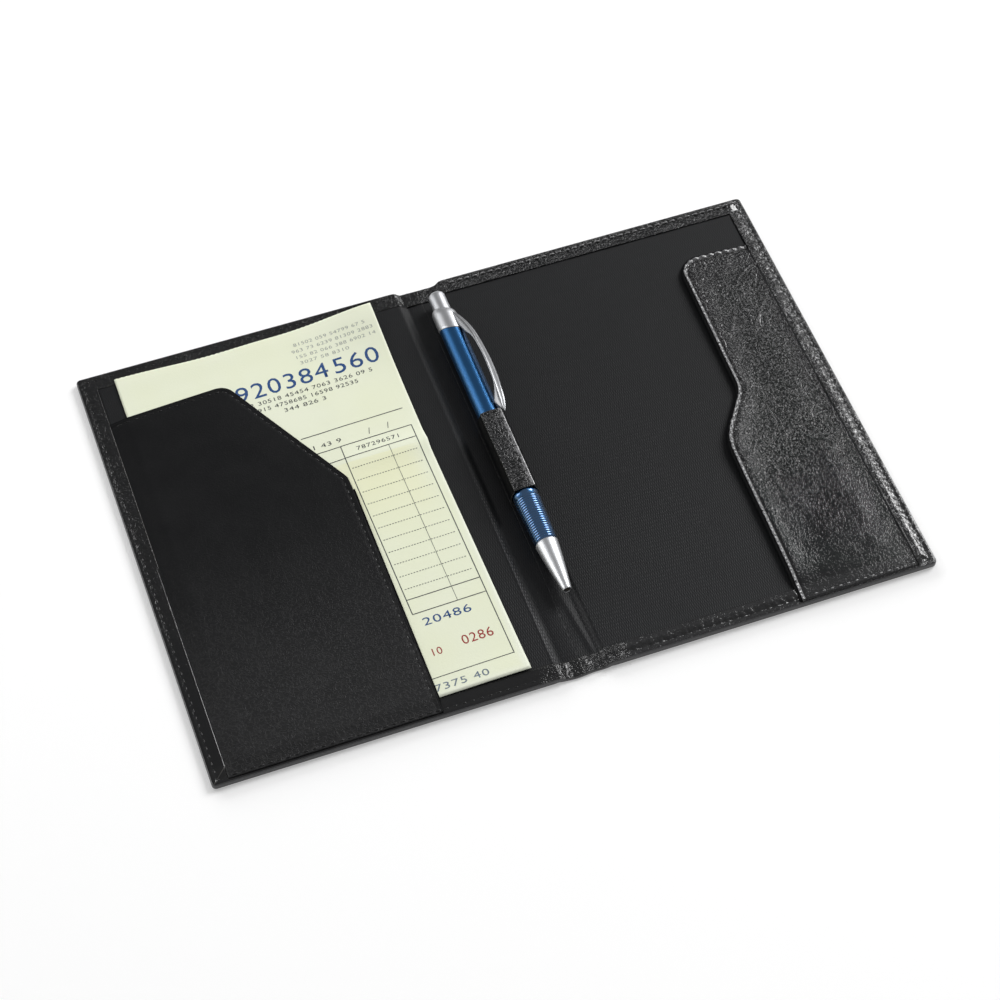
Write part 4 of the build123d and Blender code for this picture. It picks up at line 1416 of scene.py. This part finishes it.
def slip_height(x, y):
    """The check's face: it sags to the lining between its ends, its free top corner curls up,
    the sheet is folded once across and its inner edge waves."""
    inner = ease(-60, SLIP_HIGH[0], x)
    lift = settings("paper").curl / MM * inner**2 * ease(40, SLIP_HIGH[1], y) ** 2
    fold = 0.45 * bell(y, FOLD_Y, 5.0) * ease(-110, -40, x)
    sag = 0.12 * unevenness(x, y, 30.0, 51)
    foot = 0.25 * ease(-70, SLIP_LOW[1], y) * inner
    free = ease(CHECK_HIGH[0] - 5, CHECK_HIGH[0] + 4, x)
    lift = lift + 0.12 * ease(74, HEM_Y - 0.6, y)
    return SLIP_HIGH[2] + lift + (fold + 0.25) * free * (0.4 + 0.6 * inner) + sag * free + foot


class PRESENTER_OT_check(Operator):
    """The paper check, before anything is printed on it"""

    bl_idname = "presenter.check"
    bl_label = "Guest Check"

    def execute(self, context):
        (low_x, high_x), high_y = (SLIP_LOW[0], SLIP_HIGH[0]), SLIP_HIGH[1]
        lines = joined(
            np.linspace(SLIP_LOW[1], FOLD_Y - 2, 80),
            np.linspace(FOLD_Y - 2, FOLD_Y + 2, 12),
            np.linspace(FOLD_Y + 2, high_y - 1.5, 52),
            np.linspace(high_y - 1.5, high_y, 6),
        )
        u, v = np.meshgrid(np.linspace(low_x, high_x, 110), lines)
        teeth = 0.48 * np.abs(((u - low_x) / 1.9) % 1 - 0.5) * ease(84, high_y, v)
        dip = 1.0 + bumps(u, (1.2, -84, 20), (0.5, -50, 16)) - 0.9 * ease(-60, -20, u)
        y = v - ease(high_y - 30, high_y, v) * dip - teeth
        y = y + ease(0, SLIP_LOW[1], v) * 0.3 * ease(-60, high_x, u)
        aslant = -1.6 + 2.2 * np.clip((FOLD_Y - v) / 103, 0, 1) + 0.3 * bell(v, 21, 2.5)
        x = u + ease(-90, high_x, u) * aslant
        surface = Surface()
        surface.grid(np.stack([x, y, slip_height(x, y)], -1))
        piece = surface.build("guest_check_paper", [check_paper()])
        thicken(piece, PAPER)
        settle(piece, "check", "check_paper", "guest_check")
        return {"FINISHED"}


def leaned(u, v):
    """Place on the sheet of a printed point: the lower half turns a little about the fold."""
    upper, lower = math.tan(math.radians(1.5)), math.tan(math.radians(1.2))
    return u - np.minimum(v - FOLD_Y, 0) * lower, v + np.where(v > FOLD_Y, upper, lower) * (u + 40)


class Print:
    """Printed marks: flat strips that follow the sheet a hair above it."""

    def __init__(self):
        self.surface = Surface()

    def on_sheet(self, u, v):
        x, y = leaned(u, v)
        return np.stack([x, y, slip_height(x, y) + 0.03], -1)

    def bar(self, u0, v0, u1, v1):
        """A filled bar between two opposite corners."""
        u, v = (np.linspace(a, b, max(int((b - a) / 1.5), 1) + 1) for a, b in ((u0, u1), (v0, v1)))
        self.surface.grid(self.on_sheet(*np.meshgrid(u, v)))

    def line(self, u0, u1, v, weight=0.34):
        self.bar(u0, v - weight / 2, u1, v + weight / 2)

    def upright(self, u, v0, v1, weight=0.34):
        self.bar(u - weight / 2, v0, u + weight / 2, v1)

    def dots(self, u0, u1, v, pitch=1.05):
        for u in np.arange(u0, u1 - 0.5 * pitch, pitch):
            self.line(u, u + 0.55 * pitch, v, 0.28)

    def figures(self, text, u, v, size, width=None):
        """Plain numerals from the built-in face, carried onto the sheet and, if a width is
        asked for, drawn out to it."""
        curve = bpy.data.curves.new("numerals", "FONT")
        curve.body, curve.size, curve.resolution_u = text, size, 3
        curve.space_character = 1.1
        holder = bpy.data.objects.new("numerals", curve)
        mesh = bpy.data.meshes.new_from_object(holder)
        at = np.empty(len(mesh.vertices) * 3)
        mesh.vertices.foreach_get("co", at)
        at = at.reshape(-1, 3)
        scale = width / (at[:, 0].max() - at[:, 0].min()) if width else 1.0
        faces = [list(face.vertices) for face in mesh.polygons]
        self.surface.add(self.on_sheet(at[:, 0] * scale + u, at[:, 1] + v), faces)
        bpy.data.objects.remove(holder)
        bpy.data.curves.remove(curve)
        bpy.data.meshes.remove(mesh)

    def row(self, u0, u1, v, size, seed, longest=6):
        """A line of number groups between two places: stands in for small print."""
        rng = np.random.default_rng(seed)
        count = int((u1 - u0) / (0.66 * size))
        text = ""
        while len(text) < count:
            text += "".join(str(k) for k in rng.integers(0, 10, rng.integers(2, longest))) + " "
        self.figures(text[:count].rstrip(), u0, v, size, u1 - u0)

    def build(self, name, *colour):
        piece = self.surface.build(f"print_{name}", [ink(f"{name} ink", *colour)], weld=0.0001)
        settle(piece, "check", "check_paper")


class PRESENTER_OT_print(Operator):
    """Rules, make-believe print and plain numerals on the check"""

    bl_idname = "presenter.print"
    bl_label = "Print"

    def execute(self, context):
        faint = Print()
        for k, (u0, u1) in enumerate(((-52, -24), (-53.5, -21.8), (-53, -22), (-52, -33))):
            faint.row(u0, u1, 77.9 - 2.9 * k, 2.1, 100 + k)
        faint.build("faint", 0.33, 0.35, 0.31)

        black = Print()
        left, inner, right = -62, -49.6, -22.4
        for k, (u0, u1) in enumerate(((-77, -28), (-73, -34.5), (-64, -48))):
            black.row(u0, u1, 56.7 - 3.1 * k, 2.5, 200 + k, 8)
        black.line(left, -23, 36.7)
        black.row(left, -48.5, 30.4, 2.6, 301)
        for u in (-38.2, -31.0):
            black.figures("/", u, 30.0, 3.9)
        for u0, v in ((left, 28.4), (left, 22.8), (inner, -42.3), (inner, -48.5)):
            black.line(u0, right, v)
        black.line(left, right, -75.3, 0.3)
        black.upright(inner, -48.5, 28.4)
        black.upright(right, -75.5, 28.4)
        black.upright(-33.0, -48.5, 22.8, 0.18)
        black.row(-44.5, -28.5, 24.6, 2.5, 302, 11)
        for k in range(11):
            black.dots(-48.6, -23.2, 17.6 - 5.55 * k)
        black.build("black", 0.045, 0.05, 0.055)

        blue = Print()
        blue.figures("1920384", -85, 60.2, 10.0, 39.5)
        blue.figures("560", -41.5, 60.2, 10.0, 17.5)
        blue.figures("20486", -47.5, -54.3, 4.6, 17.5)
        blue.build("blue", 0.02, 0.07, 0.21)

        grey = Print()
        grey.row(left, -33.5, -80.6, 3.9, 404, 8)
        grey.build("grey", 0.14, 0.18, 0.23)

        red = Print()
        red.figures("0286", -37.5, -66.2, 5.4)
        red.figures("10", -49.3, -66.8, 4.2)
        red.build("red", 0.32, 0.04, 0.035)
        return {"FINISHED"}


# ---- pen ----


def pen_piece(surface, name, body, node, slot, *finishes, sharp=35):
    piece = surface.build(name, finishes, sharp=sharp, outward=True)
    settle(piece, body, slot, node)


def turned_surface(rows, segments=144):
    """Closed turned piece: each row is a radius, a Y and, where it leans, its share of the slant;
    the last row joins the first."""
    surface = Surface()
    surface.grid(tube([(*row, 0)[:3] for row in rows], segments), closed=True, looped=True)
    return surface


class PRESENTER_OT_pen_front(Operator):
    """Nose and ribbed grip of the pen"""

    bl_idname = "presenter.pen_front"
    bl_label = "Pen Front"

    def execute(self, context):
        nose = turned_surface(self.nose())
        pen_piece(nose, "nose_cone", "pen_front", "pen_nose", "silver_finish", satin_silver())
        grip, lacquer = turned_surface(self.grip()), blue_lacquer("ribbed lacquer", 0.1)
        pen_piece(grip, "ribbed_grip", "pen_front", "pen_grip", "blue_lacquer", lacquer)
        return {"FINISHED"}

    def nose(self):
        """A slightly swollen cone, open at the tip, with a spigot in the grip."""
        t = np.linspace(0, 1, 30)
        tip, root = 1.65, 4.17
        cone = tip + (root - tip) * t + 0.62 * t * (1 - t)
        y = TIP_Y + 0.25 + (GRIP_Y - TIP_Y - 0.55) * t
        profile = [(1.25, TIP_Y + 6), (1.25, TIP_Y + 0.1), (1.38, TIP_Y), (1.55, TIP_Y + 0.04)]
        profile += zip(cone, y)
        profile += [(4.12, GRIP_Y - 0.12), (4.0, GRIP_Y), (3.2, GRIP_Y), (3.2, GRIP_Y + 6)]
        return profile + [(2.2, GRIP_Y + 6), (2.2, TIP_Y + 9)]

    def grip(self):
        """Sharp grooves between rounded ribs on a widening body, then a round shoulder."""
        first, ribs, pitch = GRIP_Y + 0.6, 19, 0.98
        last = first + ribs * pitch
        y = np.linspace(first, last, ribs * 12 + 1)
        groove = 0.15 * (1 - np.abs(np.sin(TURN / 2 * (y - first) / pitch)))
        radius = 4.15 + 0.65 * (y - first) / (last - first) - groove
        profile = [(3.4, GRIP_Y + 0.02), (3.98, GRIP_Y + 0.02), (4.12, GRIP_Y + 0.15)]
        profile += zip(radius, y)
        t = np.linspace(0, 1, 10)[1:]
        shoulder = 4.35 + 0.45 * np.cos(t * TURN / 4) ** 0.8
        profile += zip(shoulder, last + (JOINT_Y - last) * (0.25 + 0.75 * t))
        return profile + [(3.7, JOINT_Y), (3.7, JOINT_Y - 8), (3.4, JOINT_Y - 8)]


def clip_surface():
    """Bow clip carried from root to tip: at each share of its length a closed section between
    its inner and outer side view, as wide as its plan, rounded outside with a flat inner face."""
    down = joined(
        np.linspace(-0.14, 0.1, 24), np.linspace(0.1, 0.9, 90), 1 - 0.1 * (1 - spread(26, last=1.7))
    )
    outer = curve_through(
        [-0.15, -0.05, 0.11, 0.35, 0.67, 0.86, 0.95, 1.0],
        [-0.01, 0.34, 0.75, 1.0, 0.98, 0.77, 0.62, 0.5],
        down,
    )
    inner = curve_through(
        [-0.15, 0.043, 0.115, 0.185, 0.35, 0.57, 0.76, 0.83, 0.88, 0.94, 1.0],
        [-0.3, 0.03, 0.24, 0.55, 0.79, 0.825, 0.63, 0.32, 0.05, 0.22, 0.46],
        down,
    )
    half = curve_through(
        [-0.16, 0.0, 0.32, 0.72, 0.905, 0.97, 1.0], [0.7, 0.72, 0.89, 1.0, 0.83, 0.5, 0.06], down
    )
    rise, barrel, length, half_width = 5.15, 4.35, 44.2, 1.8
    phi = np.linspace(0, TURN, 64, endpoint=False)
    c, s = np.cos(phi), np.sin(phi)
    share = 0.5 + 0.5 * np.sign(s) * np.abs(s) ** np.where(s > 0, 0.66, 0.75)
    share = share + 0.1 * bell(c, -0.35, 0.13) * (s > 0)
    top = barrel + rise * outer[:, None]
    bottom = np.maximum(barrel + rise * inner[:, None], 3.9)
    out = bottom + (top - bottom) * share
    across = half[:, None] * half_width * np.sign(c) * np.abs(c) ** 0.66
    y = np.broadcast_to(COLLAR_Y - down[:, None] * length, across.shape)
    ux, uz = math.cos(CLIP_TURN), math.sin(CLIP_TURN)
    return np.stack([PEN_X + out * ux - across * uz, y, PEN_Z + out * uz + across * ux], -1)


class PRESENTER_OT_pen_rear(Operator):
    """Barrel, collar with its bow clip, and push button"""

    bl_idname = "presenter.pen_rear"
    bl_label = "Pen Rear"

    def execute(self, context):
        barrel, collar = (turned_surface(rows, 160) for rows in (self.barrel(), self.collar()))
        pen_piece(barrel, "barrel_tube", "pen_rear", "pen_barrel", "blue_lacquer", blue_lacquer())
        collar.grid(clip_surface(), closed=True, finish=1, capped=True)
        # Painted shade: the collar and button, and the clip more so, are darker copies of the one
        # silver.
        silver, clip = satin_silver("rear silver", 0.85), satin_silver("clip silver", 0.5)
        slot = "silver_finish"
        pen_piece(collar, "collar_clip", "pen_rear", "clip_collar", slot, silver, clip, sharp=50)
        button = turned_surface(self.button())
        pen_piece(button, "push_button", "plunger", "pen_plunger", slot, silver)
        return {"FINISHED"}

    def barrel(self):
        """Straight tube with a slanted end under the collar and a spigot in the grip."""
        joint, end = JOINT_Y, COLLAR_Y
        rows = [(4.2, joint), (4.35, joint + 0.15)]
        rows += [(4.35, y) for y in np.linspace(joint + 2, end - 6, 48)]
        rows += [(4.35, end - 0.02, 1), (4.0, end, 1), (4.0, end + 6), (3.4, end + 6)]
        rows += [(3.4, joint + 2), (2.7, joint + 2), (2.7, joint - 8), (3.5, joint - 8)]
        return rows + [(3.5, joint)]

    def collar(self):
        """Slanted sleeve that rounds over to its crown, hollow for the button."""
        low, top = COLLAR_Y + 0.02, CROWN_Y
        rows = [(4.02, COLLAR_Y + 0.6, 1), (4.02, low, 1), (4.45, low, 1), (4.55, low + 0.12, 1)]
        rows += [(4.55, COLLAR_Y + k, 1) for k in np.linspace(1.0, 7.0, 6)]
        t = np.linspace(0, 1, 12)[1:]
        rows += [(3.55 + math.sqrt(1 - 0.96 * a * a), top - 3.0 + 2.9 * a, 1) for a in t]
        rows += [(3.72, top, 1), (3.5, top + 0.02, 1), (3.36, top - 0.1, 1)]
        return rows + [(3.36, COLLAR_Y + 7.4), (4.02, COLLAR_Y + 7.4)]

    def button(self):
        """Stem, shoulder and a domed head."""
        t = np.linspace(0, TURN / 4, 14)[:-1]
        shoulder = CROWN_Y - 4.6
        profile = [(0.02, COLLAR_Y - 6), (2.3, COLLAR_Y - 6), (2.3, shoulder), (3.2, shoulder)]
        profile += [(3.2, CROWN_Y), (3.2, BUTTON_Y - 4)]
        profile += zip(3.2 * np.cos(t) ** 0.85, BUTTON_Y - 2.2 + 2.2 * np.sin(t))
        return profile + [(0.02, BUTTON_Y)]


class PRESENTER_OT_inside(Operator):
    """Finishes of the solids that stay: boards, refill and click mechanism"""

    bl_idname = "presenter.inside"
    bl_label = "Inside Parts"

    def execute(self, context):
        dress(greyboard(), "back_board", "front_board")
        dress(plain_metal("spring steel", 0.55, 0.55, 0.56), "refill_spring")
        dress(plain_metal("tip brass", 0.66, 0.5, 0.26), "refill_tip")
        dress(moulded_plastic("refill plastic", 0.09, 0.16, 0.4), "refill_tube")
        dress(moulded_plastic("white plastic", 0.75, 0.75, 0.73), "cam_rotor", "cam_sleeve")
        return {"FINISHED"}


class PRESENTER_PT_panel(Panel):
    """Everything that makes the presenter, in order"""

    bl_label = "Guest Check Presenter"
    bl_idname = "PRESENTER_PT_panel"
    bl_space_type = "VIEW_3D"
    bl_region_type = "UI"
    bl_category = "Presenter"

    def draw(self, context):
        for operator in OPERATORS:
            self.layout.operator(operator.bl_idname)
        for name, group in SETTINGS.items():
            box = self.layout.box()
            for value in group.__annotations__:
                box.prop(getattr(context.scene, name), value)


SETTINGS = {
    "presenter_cover": CoverSettings,
    "presenter_paper": PaperSettings,
    "presenter_pen": PenSettings,
    "presenter_stage": StageSettings,
}
OPERATORS = (
    PRESENTER_OT_stage,
    PRESENTER_OT_cover,
    PRESENTER_OT_lining,
    PRESENTER_OT_pockets,
    PRESENTER_OT_stitching,
    PRESENTER_OT_loop,
    PRESENTER_OT_check,
    PRESENTER_OT_print,
    PRESENTER_OT_pen_front,
    PRESENTER_OT_pen_rear,
    PRESENTER_OT_inside,
)


def register():
    for cls in (*SETTINGS.values(), *OPERATORS, PRESENTER_PT_panel):
        bpy.utils.register_class(cls)
    for name, cls in SETTINGS.items():
        setattr(bpy.types.Scene, name, PointerProperty(type=cls))


def unregister():
    for name in SETTINGS:
        delattr(bpy.types.Scene, name)
    for cls in (PRESENTER_PT_panel, *OPERATORS[::-1], *SETTINGS.values()):
        bpy.utils.unregister_class(cls)


def main():
    """Builds every piece in order."""
    register()
    for operator in OPERATORS:
        group, name = operator.bl_idname.split(".")
        getattr(getattr(bpy.ops, group), name)()


if __name__ == "__main__":
    main()
